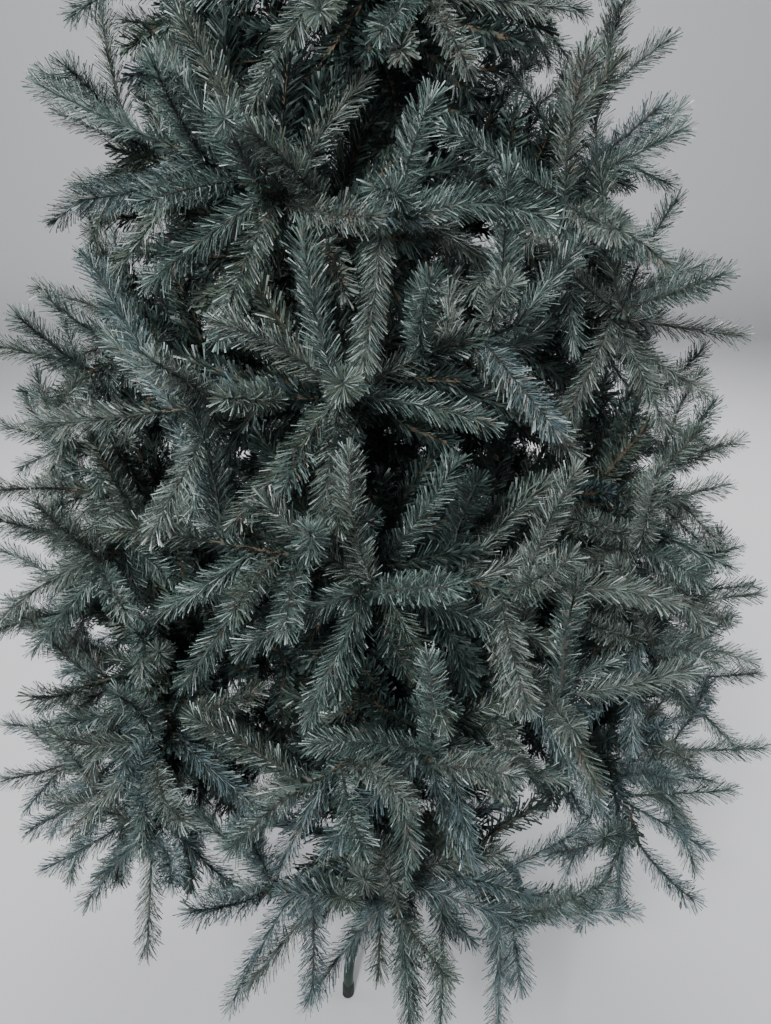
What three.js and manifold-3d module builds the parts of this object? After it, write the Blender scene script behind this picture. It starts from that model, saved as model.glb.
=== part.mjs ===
// Artificial Christmas tree on a four-legged steel stand.
// Millimetres, +Z up. The origin is on the pole's axis at the floor, and the front of the tree faces -Y.
// An azimuth is counted round the pole from the front, positive towards +X.
import * as THREE from "three";
import { mergeVertices } from "three/addons/utils/BufferGeometryUtils.js";
import Module from "manifold-3d";

const wasm = await Module();
wasm.setup();

// Driving dimensions of the crown
const TREE_HEIGHT = 2400;
const CROWN_RADIUS = 690;
const CROWN_WIDEST_AT = 450;
const CROWN_POWER = 1.7;
const CROWN_BOTTOM = 315;
const CROWN_TOP_RADIUS = 55;

// Tiers of limbs, from the floor up
const MASSES_IN_TIER = [6, 6, 5, 4, 4, 3, 2];
const TIER_AZIMUTH = [2, 7, 0, -5, -20, 20, -10];
const BOUGH_TIERS = 3;
const LOWEST_STAR_HEIGHT = 555;
const STAR_STEP = 237;
const STAR_STEP_LOSS = 3.2;
const LOWEST_RISE = 14;
const RISE_STEP = 4;
const ARCH = 7;
const STARS_IN_MASS = 3;
const STAR_DEPTH = 125;
const STAR_DEPTH_MOST_SHARE = 0.42;
const STAR_STAGGER = 42;
const AZIMUTH_SCATTER = 4;
const HEIGHT_SCATTER = 20;
const SMALL_TIERS_FROM = 5;
const SMALL_SCALE = 0.88;

// Limbs
const BOUGH_SHARE = 0.46;
const FORK_SHARES = [0.6, 0.54];
const LIMB_BEND = 0.5;
const TWIG_BEND = 0.45;
const BOUGH_RADIUS = 7;
const STEM_RADIUS = 5.5;
const TWIG_RADIUS = 4.5;
const TWIG_END_RADIUS = 3.2;
const STEM_SIDES = 5;
const TWIG_SIDES = 3;

// Leader above the pole
const LEADER_SCALE = 0.8;
const LEADER_STEM_TOP = 2200;
const LEADER_TWIGS = 4;
const LEADER_TIPS = 3;
const LEADER_AZIMUTH = 30;
const LEADER_TWIG_START = 15;
const LEADER_TWIG_STEP = 6;
const LEADER_TWIG_CREST = 12;
const LEADER_TWIG_REACH = 92;
const LEADER_TWIG_RISE = 66;
const WHORL_AZIMUTH = 75;
const WHORL_DROP = 78;
const WHORL_STEP = 6;
const WHORL_LEAN = 52;
const TOP_START_SHARE = 0.92;
const TOP_SECOND_SHARE = 0.72;

// Hearts of the masses, as shares of the limb's length and as real sizes
const HEART_PLACE = 0.66;
const HEART_DEPTH = 0.34;
const HEART_HEIGHT = 125;
const HEART_MOST_WIDTH = 1.1;
const HEART_CORE_SHARE = 0.5;
const HEART_BARE_BELOW = -0.3;
const HEART_MARGIN = 14;
const HEART_HEIGHT_MOST_SHARE = 0.9;
const HEART_LEAST_REACH = 0.75;

// Tips: one tip is a wire core with needles that stand out of it
const TIP_LENGTH = 195;
const TIP_WIDTH = 66;
const TIP_RINGS = [0.12, 0.56];
const TIP_CORE_RADIUS = 7;
const TIP_END_SHARE = 0.62;
const NEEDLE_LEAN = 22;
const TIPS_IN_STAR = [4, 4, 4, 4, 3, 3, 3];
const TIP_LEAN = 66;
const FIRST_TIP_LEAN = 12;
const TIP_SPACING = 15;
const TIP_TRIES = 12;
const TIP_SHORTENED = [1, 0.88, 0.76, 0.66];
const TIP_SAG = 10;
const TIP_LENGTH_LEAST = 0.92;
const TIP_LENGTH_SPREAD = 0.16;
const CROWN_SLACK_LEAST = 0.95;
const CROWN_SLACK_SPREAD = 0.07;
const AIM_STEP = 3;
const ROOM_FROM = 0.05;
const ROOM_MARGIN = 1;
const SEED = 20247;

// Pole in three plugged sections
const POLE_FOOT = 62;
const POLE_RADII = [16, 14, 11];
const POLE_JOINTS = [910, 1610];
const POLE_TOP = 1960;
const COLLAR_HEIGHT = 36;
const COLLAR_WALL = 2.5;
const HUB_FACE = 25;
const HUB_HEIGHT = 28;
const POLE_SIDES = 10;

// Stand
const LEG_AZIMUTH = -15;
const LEG_COUNT = 4;
const LEG_RADIUS = 9.5;
const LEG_SIDES = 8;
const LEG_HEIGHT = 72;
const LEG_REACH = 300;
const LEG_BEND_RADIUS = 42;
const LEG_BEND_STEPS = 4;
const LEG_SPLAY = 12;
const CAP_RADIUS = 11;
const CAP_HEIGHT = 26;
const CAP_BELOW_FLOOR = 12;
const CAP_ROUNDING = [1.5, 3];
const CAP_SIDES = 12;
const SLEEVE_RADIUS = 20;
const SLEEVE_TOP = 205;
const SLEEVE_BASE = 6;
const SLEEVE_CHAMFER = [1, 2];
const BLOCK_WIDTH = 54;
const BLOCK_HEIGHT = 30;
const BLOCK_CORNER = 8;

const GAP = 0.3;
const WELD = 2e-3;
const UP = new THREE.Vector3(0, 0, 1);
const DEGREE = Math.PI / 180;

const finishes = {
  needles: new THREE.MeshStandardMaterial({ color: 0x4c6a64, roughness: 0.8, metalness: 0 }),
  wire: new THREE.MeshStandardMaterial({ color: 0x4d4a3a, roughness: 0.7, metalness: 0 }),
  pole: new THREE.MeshStandardMaterial({ color: 0x24382f, roughness: 0.45, metalness: 0.2 }),
  cap: new THREE.MeshStandardMaterial({ color: 0x161c19, roughness: 0.7, metalness: 0 }),
};

const tree = new THREE.Group();

function addPiece(name, geometry, finish) {
  const mesh = new THREE.Mesh(geometry, finish);
  mesh.name = name;
  tree.add(mesh);
}

// A number source that gives the same draws for the same seed.
function drawsFrom(seed) {
  let state = seed >>> 0;
  return () => {
    state = (state + 0x6d2b79f5) >>> 0;
    let mixed = Math.imul(state ^ (state >>> 15), state | 1);
    mixed ^= mixed + Math.imul(mixed ^ (mixed >>> 7), mixed | 61);
    return ((mixed ^ (mixed >>> 14)) >>> 0) / 4294967296;
  };
}

// Joining and cutting closed meshes

function bareCopy(geometry) {
  const bare = geometry.clone();
  bare.deleteAttribute("normal");
  bare.deleteAttribute("uv");
  return bare;
}

function solidOf(geometry) {
  const merged = mergeVertices(bareCopy(geometry), WELD);
  return new wasm.Manifold(
    new wasm.Mesh({
      numProp: 3,
      vertProperties: new Float32Array(merged.attributes.position.array),
      triVerts: new Uint32Array(merged.index.array),
    }),
  );
}

function geometryOf(solid) {
  const mesh = solid.getMesh();
  const geometry = new THREE.BufferGeometry();
  geometry.setAttribute("position", new THREE.BufferAttribute(mesh.vertProperties, 3));
  geometry.setIndex(new THREE.BufferAttribute(mesh.triVerts, 1));
  geometry.computeVertexNormals();
  return geometry;
}

// One body from many: a hollow that the joining seals is filled, and a loose scrap is dropped.
function joined(geometries) {
  const whole = geometries.map(solidOf).reduce((sum, piece) => sum.add(piece));
  const bodies = solidOf(geometryOf(whole)).decompose();
  return bodies.reduce((most, body) => (body.volume() > most.volume() ? body : most));
}

// A closed skin over rings of points that turn counterclockwise about the way they run.
// A ring of one point is a sharp end, and any other end ring is closed flat.
function skinOver(rings) {
  const points = rings.flat();
  const faces = [];
  let start = 0;
  for (let i = 0; i + 1 < rings.length; i++) {
    const [here, next] = [rings[i].length, rings[i + 1].length];
    const sides = Math.max(here, next);
    for (let k = 0; k < sides; k++) {
      const a = start + (k % here);
      const b = start + ((k + 1) % here);
      const c = start + here + (k % next);
      const d = start + here + ((k + 1) % next);
      if (here > 1) faces.push([a, b, c]);
      if (next > 1) faces.push([b, d, c]);
    }
    start += here;
  }
  const last = rings[rings.length - 1].length;
  for (let k = 1; k + 1 < rings[0].length; k++) faces.push([0, k + 1, k]);
  for (let k = 1; k + 1 < last; k++) faces.push([start, start + k, start + k + 1]);
  const geometry = new THREE.BufferGeometry().setFromPoints(points);
  geometry.setIndex(faces.flat());
  return geometry;
}

// Directions and frames

function outward(azimuth) {
  return new THREE.Vector3(Math.sin(azimuth * DEGREE), -Math.cos(azimuth * DEGREE), 0);
}

function sidesOf(direction) {
  const steep = Math.abs(direction.z) > 0.95;
  const side = (steep ? outward(0) : UP).clone().cross(direction).normalize();
  return { side, lift: direction.clone().cross(side).normalize() };
}

// Points round a centre, square to a direction.
function ringAround(centre, direction, count, radius, turn = 0) {
  const { side, lift } = sidesOf(direction);
  return Array.from({ length: count }, (_, k) => {
    const angle = (turn + (360 * k) / count) * DEGREE;
    return centre
      .clone()
      .addScaledVector(side, radius * Math.cos(angle))
      .addScaledVector(lift, radius * Math.sin(angle));
  });
}

// A limb of even taper along a curve from one share of it to another.
// Where an azimuth is given, its first end is upright and lies against a flat face of the hub.
function limbAlong(curve, from, to, startRadius, endRadius, sides, steps, azimuth = null) {
  const rings = [];
  for (let i = 0; i <= steps; i++) {
    const t = THREE.MathUtils.lerp(from, to, i / steps);
    const radius = THREE.MathUtils.lerp(startRadius, endRadius, i / steps);
    const [centre, way] = [curve.getPoint(t), curve.getTangent(t)];
    if (i === 0 && azimuth !== null) {
      way.copy(outward(azimuth));
      centre.copy(outward(azimuth).multiplyScalar(HUB_FACE + GAP).setZ(centre.z));
    }
    rings.push(ringAround(centre, way, sides, radius));
  }
  return skinOver(rings);
}

// Outline of the crown

function crownRadius(height) {
  const share = (height - CROWN_WIDEST_AT) / (TREE_HEIGHT - CROWN_WIDEST_AT);
  const clipped = THREE.MathUtils.clamp(share, 0, 1);
  return Math.max(CROWN_RADIUS * (1 - clipped ** CROWN_POWER), CROWN_TOP_RADIUS);
}

function insideCrown(point, slack) {
  if (point.z < CROWN_BOTTOM || point.z > TREE_HEIGHT) return false;
  return Math.hypot(point.x, point.y) < crownRadius(point.z) * slack;
}

// Room that has been taken: each stretch is a thick line that belongs to one piece, and to one star of it

const taken = [];

function distanceBetween(p, q, r, s) {
  const u = q.clone().sub(p);
  const v = s.clone().sub(r);
  const w = p.clone().sub(r);
  const [a, b, c, d, e] = [u.dot(u), u.dot(v), v.dot(v), u.dot(w), v.dot(w)];
  const clamp = (x) => THREE.MathUtils.clamp(x, 0, 1);
  const spread = a * c - b * b;
  let onFirst = spread > 1e-9 ? clamp((b * e - c * d) / spread) : 0;
  const onSecond = clamp((b * onFirst + e) / c);
  onFirst = clamp((b * onSecond - d) / a);
  return w.addScaledVector(u, onFirst).addScaledVector(v, -onSecond).length();
}

function takeRoom(owner, stretches, star = null) {
  taken.push(...stretches.map((stretch) => ({ owner, star, ...stretch })));
}

function isFree(owner, stretches, star) {
  return stretches.every((mine) =>
    taken.every((other) => {
      if (other.owner === owner && (other.star === null || other.star === star)) return true;
      const reach = mine.radius + other.radius + ROOM_MARGIN;
      return distanceBetween(mine.from, mine.to, other.from, other.to) > reach;
    }),
  );
}

function stretchesAlong(curve, from, to, radius, steps) {
  const at = (i) => curve.getPoint(THREE.MathUtils.lerp(from, to, i / steps));
  return Array.from({ length: steps }, (_, i) => ({ from: at(i), to: at(i + 1), radius }));
}

// Pole: lathe profiles, with a bracket under each tier that has a flat face for each limb

function ringTube(profile, sides) {
  const points = profile.map(([radius, height]) => new THREE.Vector2(radius, height));
  return new THREE.LatheGeometry(points, sides).rotateX(Math.PI / 2);
}

function hubBracket(tier) {
  const count = tier.limbs.length;
  const sides = count < 4 ? 2 * count : count;
  const corner = HUB_FACE / Math.cos(Math.PI / sides);
  const bracket = new THREE.CylinderGeometry(corner, corner, HUB_HEIGHT, sides).rotateX(Math.PI / 2);
  bracket.rotateZ((tier.limbs[0].azimuth - 180 / sides) * DEGREE);
  return bracket.translate(0, 0, tier.bracketHeight);
}

function poleSection(index, tiers) {
  const bottom = index === 0 ? POLE_FOOT : POLE_JOINTS[index - 1] + GAP;
  const isLast = index === POLE_JOINTS.length;
  const top = isLast ? POLE_TOP : POLE_JOINTS[index];
  const radius = POLE_RADII[index];
  const collar = [radius + COLLAR_WALL, top - COLLAR_HEIGHT];
  const upper = isLast ? [[radius, top]] : [[radius, collar[1]], collar, [collar[0], top]];
  const tube = ringTube([[0, bottom], [radius, bottom], ...upper, [0, top]], POLE_SIDES);
  const here = tiers.filter(({ bracketHeight }) => bracketHeight > bottom && bracketHeight < top);
  return geometryOf(joined([tube, ...here.map(hubBracket)]));
}

// Stand: a sleeve on a square block, four bent tube legs and their rubber caps

function standSleeve() {
  const [inner, outer] = [POLE_RADII[0] + GAP, SLEEVE_RADIUS];
  const [seat, bottom] = [POLE_FOOT - GAP, POLE_FOOT - SLEEVE_BASE];
  const [slope, drop] = SLEEVE_CHAMFER;
  const top = [[outer, SLEEVE_TOP - drop], [outer - slope, SLEEVE_TOP], [0, SLEEVE_TOP]];
  const tube = ringTube([[0, bottom], [outer, bottom], ...top], POLE_SIDES);
  const above = SLEEVE_TOP + SLEEVE_BASE;
  const hollow = ringTube([[0, seat], [inner, seat], [inner, above], [0, above]], POLE_SIDES);
  const half = BLOCK_WIDTH / 2;
  const short = half - BLOCK_CORNER;
  const outline = new THREE.Shape();
  outline.moveTo(short, -half).lineTo(half, -short).lineTo(half, short).lineTo(short, half);
  outline.lineTo(-short, half).lineTo(-half, short).lineTo(-half, -short).lineTo(-short, -half).closePath();
  const block = new THREE.ExtrudeGeometry(outline, { depth: BLOCK_HEIGHT, bevelEnabled: false });
  block.rotateZ(LEG_AZIMUTH * DEGREE).translate(0, 0, LEG_HEIGHT - BLOCK_HEIGHT / 2);
  return geometryOf(solidOf(tube).add(solidOf(block)).subtract(solidOf(hollow)));
}

// The middle line of a leg in its own vertical plane, as distance from the pole and height.
function legPath(azimuth) {
  const away = outward(azimuth);
  const place = (distance, height) => away.clone().multiplyScalar(distance).setZ(height);
  const turn = (90 - LEG_SPLAY) * DEGREE;
  const footTop = LEG_HEIGHT - LEG_BEND_RADIUS * (1 - Math.cos(turn));
  const footRun = footTop * Math.tan(LEG_SPLAY * DEGREE);
  const bendEnd = LEG_REACH - footRun;
  const bendStart = bendEnd - LEG_BEND_RADIUS * Math.sin(turn);
  const points = [place(BLOCK_WIDTH / 2 + GAP, LEG_HEIGHT)];
  for (let i = 0; i <= LEG_BEND_STEPS; i++) {
    const angle = (turn * i) / LEG_BEND_STEPS;
    const drop = LEG_BEND_RADIUS * (1 - Math.cos(angle));
    points.push(place(bendStart + LEG_BEND_RADIUS * Math.sin(angle), LEG_HEIGHT - drop));
  }
  const down = place(Math.sin(LEG_SPLAY * DEGREE), -Math.cos(LEG_SPLAY * DEGREE));
  return { points, down, foot: place(LEG_REACH, 0) };
}

function legTube(azimuth) {
  const { points, down, foot } = legPath(azimuth);
  const capTop = foot.clone().addScaledVector(down, -CAP_HEIGHT - GAP);
  const line = [...points, capTop];
  const ways = line.map((point, i) => {
    const before = line[Math.max(i - 1, 0)];
    const after = line[Math.min(i + 1, line.length - 1)];
    return i === line.length - 1 ? down : after.clone().sub(i ? before : point).normalize();
  });
  const side = UP.clone().cross(outward(azimuth)).normalize();
  return skinOver(
    line.map((point, i) => {
      const lift = ways[i].clone().cross(side).normalize();
      return Array.from({ length: LEG_SIDES }, (_, k) => {
        const angle = ((k + 0.5) * 360 * DEGREE) / LEG_SIDES;
        return point
          .clone()
          .addScaledVector(side, LEG_RADIUS * Math.cos(angle))
          .addScaledVector(lift, LEG_RADIUS * Math.sin(angle));
      });
    }),
  );
}

function footCap(azimuth) {
  const { down, foot } = legPath(azimuth);
  const [slope, drop] = CAP_ROUNDING;
  const profile = [[0, -CAP_BELOW_FLOOR], [CAP_RADIUS, -CAP_BELOW_FLOOR], [CAP_RADIUS, CAP_HEIGHT - drop]];
  profile.push([CAP_RADIUS - slope, CAP_HEIGHT], [0, CAP_HEIGHT]);
  const cap = ringTube(profile, CAP_SIDES);
  cap.applyQuaternion(new THREE.Quaternion().setFromUnitVectors(UP, down.clone().negate()));
  cap.translate(foot.x, foot.y, foot.z);
  const floor = new THREE.BoxGeometry(120, 120, 60).translate(foot.x, foot.y, -30);
  return geometryOf(solidOf(cap).subtract(solidOf(floor)));
}

// Limbs: each runs from a hub on the pole to the star of tips at the crown's face

function starCentre(azimuth, height) {
  const radius = crownRadius(height);
  const depth = Math.min(STAR_DEPTH, radius * STAR_DEPTH_MOST_SHARE);
  return outward(azimuth).multiplyScalar(radius - depth).setZ(height);
}

// The share of a curve that lies a distance along it.
function shareAt(curve, distance) {
  return curve.getUtoTmapping(0, distance);
}

function limbPath(azimuth, hub, climb, star) {
  const start = new THREE.Vector3(0, 0, hub);
  const direction = outward(azimuth).multiplyScalar(Math.cos(climb)).setZ(Math.sin(climb));
  const middle = start.clone().addScaledVector(direction, LIMB_BEND * start.distanceTo(star));
  return new THREE.QuadraticBezierCurve3(start, middle, star);
}

function tierOf(index) {
  const height = LOWEST_STAR_HEIGHT + STAR_STEP * index - STAR_STEP_LOSS * index * index;
  const rise = LOWEST_RISE + RISE_STEP * index;
  const count = MASSES_IN_TIER[index];
  const spacing = 360 / count;
  const middleStar = starCentre(0, height);
  const hub = height - Math.hypot(middleStar.x, middleStar.y) * Math.tan(rise * DEGREE);
  const climb = (rise + ARCH) * DEGREE;
  const limbs = Array.from({ length: count }, (_, k) => {
    const draw = drawsFrom(SEED + 100 * index + k);
    const azimuth = TIER_AZIMUTH[index] + spacing * k;
    const stars = [0, -1, 1].map((turn) => {
      const offset = (spacing / STARS_IN_MASS) * turn + AZIMUTH_SCATTER * (draw() - 0.5);
      const stagger = STAR_STAGGER * turn * ((index + k) % 2 ? 1 : -1);
      return starCentre(azimuth + offset, height + stagger + HEIGHT_SCATTER * (draw() - 0.5));
    });
    return { azimuth, stars, path: limbPath(azimuth, hub, climb, stars[0]), draw };
  });
  return { index, bracketHeight: hub + HUB_FACE * Math.tan(climb), limbs };
}

const tiers = MASSES_IN_TIER.map((_, index) => tierOf(index));

function twigTo(limb, star, forkShare) {
  const fork = limb.path.getPoint(forkShare);
  const way = limb.path.getTangent(forkShare);
  const middle = fork.clone().addScaledVector(way, TWIG_BEND * fork.distanceTo(star));
  return new THREE.QuadraticBezierCurve3(fork, middle, star);
}

// Turns one face into a needle: three faces that meet at a point over its middle.
function raiseNeedle(points, face, offset) {
  const middle = face.reduce((sum, i) => sum.add(points[i]), new THREE.Vector3()).divideScalar(3);
  const top = points.push(middle.add(offset)) - 1;
  const [u, v, w] = face;
  return [[u, v, top], [v, w, top], [w, u, top]];
}

// One tip: a slim three-sided core, and a needle that leans forward raised from each face past the root.
function tipAlong(curve, width, turn) {
  const core = TIP_RINGS.map((share, i) =>
    ringAround(curve.getPoint(share), curve.getTangent(share), 3, TIP_CORE_RADIUS, turn + 60 * i),
  );
  const [root, end] = [curve.getPoint(0), curve.getPoint(1)];
  const points = [root, ...core.flat(), end];
  const faces = [];
  for (let k = 0; k < 3; k++) {
    const [a, b, c, d] = [1 + k, 1 + ((k + 1) % 3), 4 + k, 4 + ((k + 1) % 3)];
    faces.push([0, b, a]);
    for (const face of [[a, b, c], [b, d, c], [c, d, 7]]) {
      const middle = face.reduce((sum, i) => sum.add(points[i]), new THREE.Vector3()).divideScalar(3);
      const share = middle.distanceTo(root) / end.distanceTo(root);
      const height = (width / 2) * (face.includes(7) ? TIP_END_SHARE : 1);
      const offset = middle.sub(curve.getPoint(share)).setLength(height);
      offset.addScaledVector(curve.getTangent(share), NEEDLE_LEAN);
      faces.push(...raiseNeedle(points, face, offset));
    }
  }
  const geometry = new THREE.BufferGeometry().setFromPoints(points);
  geometry.setIndex(faces.flat());
  return geometry;
}

// Dense heart of a mass: a small lump inside it with long needles raised from the faces that look outwards.
function heartOf(limb, halfAngle, draw) {
  const share = shareAt(limb.path, HEART_PLACE * limb.path.getLength());
  const centre = limb.path.getPoint(share);
  const out = limb.path.getTangent(share);
  const { side, lift } = sidesOf(out);
  const away = Math.hypot(centre.x, centre.y);
  const depth = HEART_DEPTH * limb.path.getLength();
  const [sine, cosine] = [Math.sin(halfAngle), Math.cos(halfAngle)];
  const room = Math.max((away * sine - HEART_MARGIN) ** 2 - (depth * sine) ** 2, 0);
  const width = Math.min(cosine > 0.1 ? Math.sqrt(room) / cosine : away, HEART_MOST_WIDTH * away);
  const height = Math.min(HEART_HEIGHT, HEART_HEIGHT_MOST_SHARE * depth);
  const place = (spot, reach) =>
    centre
      .clone()
      .addScaledVector(out, spot.x * depth * reach)
      .addScaledVector(side, spot.y * width * reach)
      .addScaledVector(lift, spot.z * height * reach);
  const shape = mergeVertices(bareCopy(new THREE.IcosahedronGeometry(1, 0)), WELD);
  const corners = Array.from({ length: shape.attributes.position.count }, (_, i) =>
    new THREE.Vector3().fromBufferAttribute(shape.attributes.position, i),
  );
  const points = corners.map((corner) => place(corner, HEART_CORE_SHARE));
  const faces = [];
  for (let i = 0; i < shape.index.count; i += 3) {
    const face = [0, 1, 2].map((k) => shape.index.getX(i + k));
    const way = face.reduce((sum, k) => sum.add(corners[k]), new THREE.Vector3()).normalize();
    const reach = THREE.MathUtils.lerp(HEART_LEAST_REACH, 1, draw());
    if (way.x < HEART_BARE_BELOW) {
      faces.push(face);
      continue;
    }
    const middle = face.reduce((sum, k) => sum.add(points[k]), new THREE.Vector3()).divideScalar(3);
    faces.push(...raiseNeedle(points, face, place(way, reach).sub(middle)));
  }
  const geometry = new THREE.BufferGeometry().setFromPoints(points);
  geometry.setIndex(faces.flat());
  return geometry;
}

function tipCurve(base, direction, length, sag) {
  const middle = base.clone().addScaledVector(direction, length / 2);
  const end = base.clone().addScaledVector(direction, length);
  middle.z += sag * 0.3;
  end.z -= sag * 0.7;
  return new THREE.QuadraticBezierCurve3(base, middle, end);
}

function aimFrom(axis, lean, turn) {
  const { side, lift } = sidesOf(axis);
  return axis
    .clone()
    .multiplyScalar(Math.cos(lean * DEGREE))
    .addScaledVector(side, Math.sin(lean * DEGREE) * Math.cos(turn * DEGREE))
    .addScaledVector(lift, Math.sin(lean * DEGREE) * Math.sin(turn * DEGREE))
    .normalize();
}

// True where a shape runs into the dense heart of another mass.
function entersHeart(owner, geometry) {
  const solid = solidOf(geometry);
  return hearts.some((heart) => heart.owner !== owner && !heart.solid.intersect(solid).isEmpty());
}

// Grows one tip from a base if there is room for it inside the crown, clear of every other piece.
function growTip(mass, twig, fromEnd, lean, turn) {
  const at = shareAt(twig, twig.getLength() - fromEnd);
  const base = twig.getPoint(at);
  const axis = twig.getTangent(at);
  for (let attempt = 0; attempt < TIP_TRIES; attempt++) {
    const spread = 2 * AIM_STEP * attempt;
    const leaned = lean + spread * (mass.draw() - 0.5);
    const direction = aimFrom(axis, leaned, turn + 2 * spread * (mass.draw() - 0.5));
    const fullLength = TIP_LENGTH * (TIP_LENGTH_LEAST + TIP_LENGTH_SPREAD * mass.draw()) * mass.scale;
    const sag = TIP_SAG * mass.draw();
    const slack = CROWN_SLACK_LEAST + CROWN_SLACK_SPREAD * mass.draw();
    const turned = 90 * mass.draw();
    for (const shortened of TIP_SHORTENED) {
      const curve = tipCurve(base, direction, fullLength * shortened, sag);
      if (!insideCrown(curve.getPoint(1), slack)) continue;
      const room = stretchesAlong(curve, ROOM_FROM, 1, (TIP_WIDTH / 2) * mass.scale, 4);
      if (!isFree(mass.name, room, twig) || entersHeart(mass.name, tipAlong(curve, TIP_WIDTH, 0))) continue;
      takeRoom(mass.name, room, twig);
      mass.pieces.push(tipAlong(curve, TIP_WIDTH * mass.scale, turned));
      return;
    }
  }
}

// Masses, each with its stem, twigs and stars, before its tips are grown
function newMass(name, draw, scale, tips) {
  return { name, draw, scale, tips, pieces: [], stars: [] };
}

const masses = [];
const hearts = [];
const sectorName = (index, k) => `${index + 1}_${k + 1}`;

for (const tier of tiers) {
  tier.limbs.forEach((limb, k) => {
    const { path } = limb;
    const tag = sectorName(tier.index, k);
    const start = outward(limb.azimuth).multiplyScalar(HUB_FACE + GAP).setZ(tier.bracketHeight);
    let from = shareAt(path, start.distanceTo(path.getPoint(0)));
    let facing = limb.azimuth;
    if (tier.index < BOUGH_TIERS) {
      const boughEnd = BOUGH_SHARE * path.getLength();
      const to = shareAt(path, boughEnd);
      const bough = limbAlong(path, from, to, BOUGH_RADIUS, STEM_RADIUS, STEM_SIDES, 2, facing);
      takeRoom(`bough_${tag}`, stretchesAlong(path, from, to, BOUGH_RADIUS, 4));
      addPiece(`bough_${tag}`, bough, finishes.wire);
      from = shareAt(path, boughEnd + GAP);
      facing = null;
    }
    const scale = tier.index < SMALL_TIERS_FROM ? 1 : SMALL_SCALE;
    const mass = newMass(`mass_${tag}`, limb.draw, scale, TIPS_IN_STAR[tier.index]);
    mass.pieces.push(limbAlong(path, from, 1, STEM_RADIUS, TWIG_END_RADIUS, STEM_SIDES, 2, facing));
    takeRoom(mass.name, stretchesAlong(path, from, 1, STEM_RADIUS, 4));
    const heart = heartOf(limb, Math.PI / tier.limbs.length, limb.draw);
    hearts.push({ owner: mass.name, solid: solidOf(heart) });
    mass.pieces.push(heart);
    mass.stars.push(path);
    limb.stars.slice(1).forEach((star, i) => {
      const twig = twigTo(limb, star, FORK_SHARES[i]);
      mass.pieces.push(limbAlong(twig, 0, 1, TWIG_RADIUS, TWIG_END_RADIUS, TWIG_SIDES, 2));
      takeRoom(mass.name, stretchesAlong(twig, 0, 1, TWIG_RADIUS, 3));
      mass.stars.push(twig);
    });
    masses.push(mass);
  });
}

// Leader: a stem on the pole's top, with twigs to a ring of small stars
const onAxis = (height) => new THREE.Vector3(0, 0, height);
const leader = newMass("mass_leader", drawsFrom(SEED + 900), LEADER_SCALE, LEADER_TIPS);
const leaderLine = new THREE.LineCurve3(onAxis(POLE_TOP + GAP), onAxis(LEADER_STEM_TOP));
leader.pieces.push(limbAlong(leaderLine, 0, 1, STEM_RADIUS, TWIG_RADIUS, STEM_SIDES, 2));
takeRoom(leader.name, stretchesAlong(leaderLine, 0, 1, STEM_RADIUS, 2));
for (let i = 0; i < LEADER_TWIGS; i++) {
  const start = onAxis(POLE_TOP + LEADER_TWIG_START + LEADER_TWIG_STEP * i);
  const way = outward(LEADER_AZIMUTH + (360 * i) / LEADER_TWIGS);
  const end = way.multiplyScalar(LEADER_TWIG_REACH).setZ(POLE_TOP + LEADER_TWIG_RISE);
  const middle = start.clone().lerp(end, 0.5).setZ(start.z + LEADER_TWIG_CREST);
  const twig = new THREE.QuadraticBezierCurve3(start, middle, end);
  leader.pieces.push(limbAlong(twig, 0, 1, TWIG_RADIUS, TWIG_END_RADIUS, TWIG_SIDES, 2));
  takeRoom(leader.name, stretchesAlong(twig, 0, 1, TWIG_RADIUS, 2));
  leader.stars.push(twig);
}
masses.push(leader);

// The pole takes its room too.
takeRoom("pole", [{ from: onAxis(POLE_FOOT), to: onAxis(POLE_TOP), radius: HUB_FACE }]);

// The leader's top is two upright tips on end, with a whorl of tips under them.
const topStart = leaderLine.getPoint(TOP_START_SHARE);
const topLength = (TREE_HEIGHT - topStart.z) / (1 + TOP_SECOND_SHARE);
for (const share of [0, TOP_SECOND_SHARE]) {
  const curve = tipCurve(onAxis(topStart.z + share * topLength), UP, topLength, 0);
  takeRoom(leader.name, stretchesAlong(curve, ROOM_FROM, 1, (TIP_WIDTH / 2) * leader.scale, 4), "top");
  leader.pieces.push(tipAlong(curve, TIP_WIDTH * leader.scale, 60 * share));
}
for (let i = 0; i < LEADER_TWIGS; i++) {
  const turn = WHORL_AZIMUTH + (360 * i) / LEADER_TWIGS;
  growTip(leader, leaderLine, WHORL_DROP + WHORL_STEP * i, WHORL_LEAN, turn);
}

// Stars take turns, so that no mass crowds out its neighbours.
for (let i = 0; i < Math.max(...TIPS_IN_STAR); i++) {
  for (const mass of masses.filter(({ tips }) => i < tips)) {
    for (const twig of mass.stars) {
      const turn = 30 + (360 * i) / (mass.tips - 1);
      growTip(mass, twig, TIP_SPACING * (i + 0.2), i === 0 ? FIRST_TIP_LEAN : TIP_LEAN, turn);
    }
  }
}

for (const mass of masses) {
  addPiece(mass.name, geometryOf(joined(mass.pieces)), finishes.needles);
}

const sectionNames = ["pole_lower", "pole_middle", "pole_upper"];
sectionNames.forEach((name, i) => addPiece(name, poleSection(i, tiers), finishes.pole));

addPiece("stand_sleeve", standSleeve(), finishes.pole);
for (let i = 0; i < LEG_COUNT; i++) {
  const azimuth = LEG_AZIMUTH + (360 * i) / LEG_COUNT;
  addPiece(`stand_leg_${i + 1}`, legTube(azimuth), finishes.pole);
  addPiece(`foot_cap_${i + 1}`, footCap(azimuth), finishes.cap);
}

export default tree;
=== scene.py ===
"""Artificial Christmas tree on a four-legged stand: the finish of its pole, boughs, needles and stand.

Lengths are in metres, +Z is up, the origin is on the pole's axis at the floor and the front faces -Y.
The limbs grow by the same seeded rule as the solids, which is carried on here to tips, wires and single needles.
"""

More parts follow.
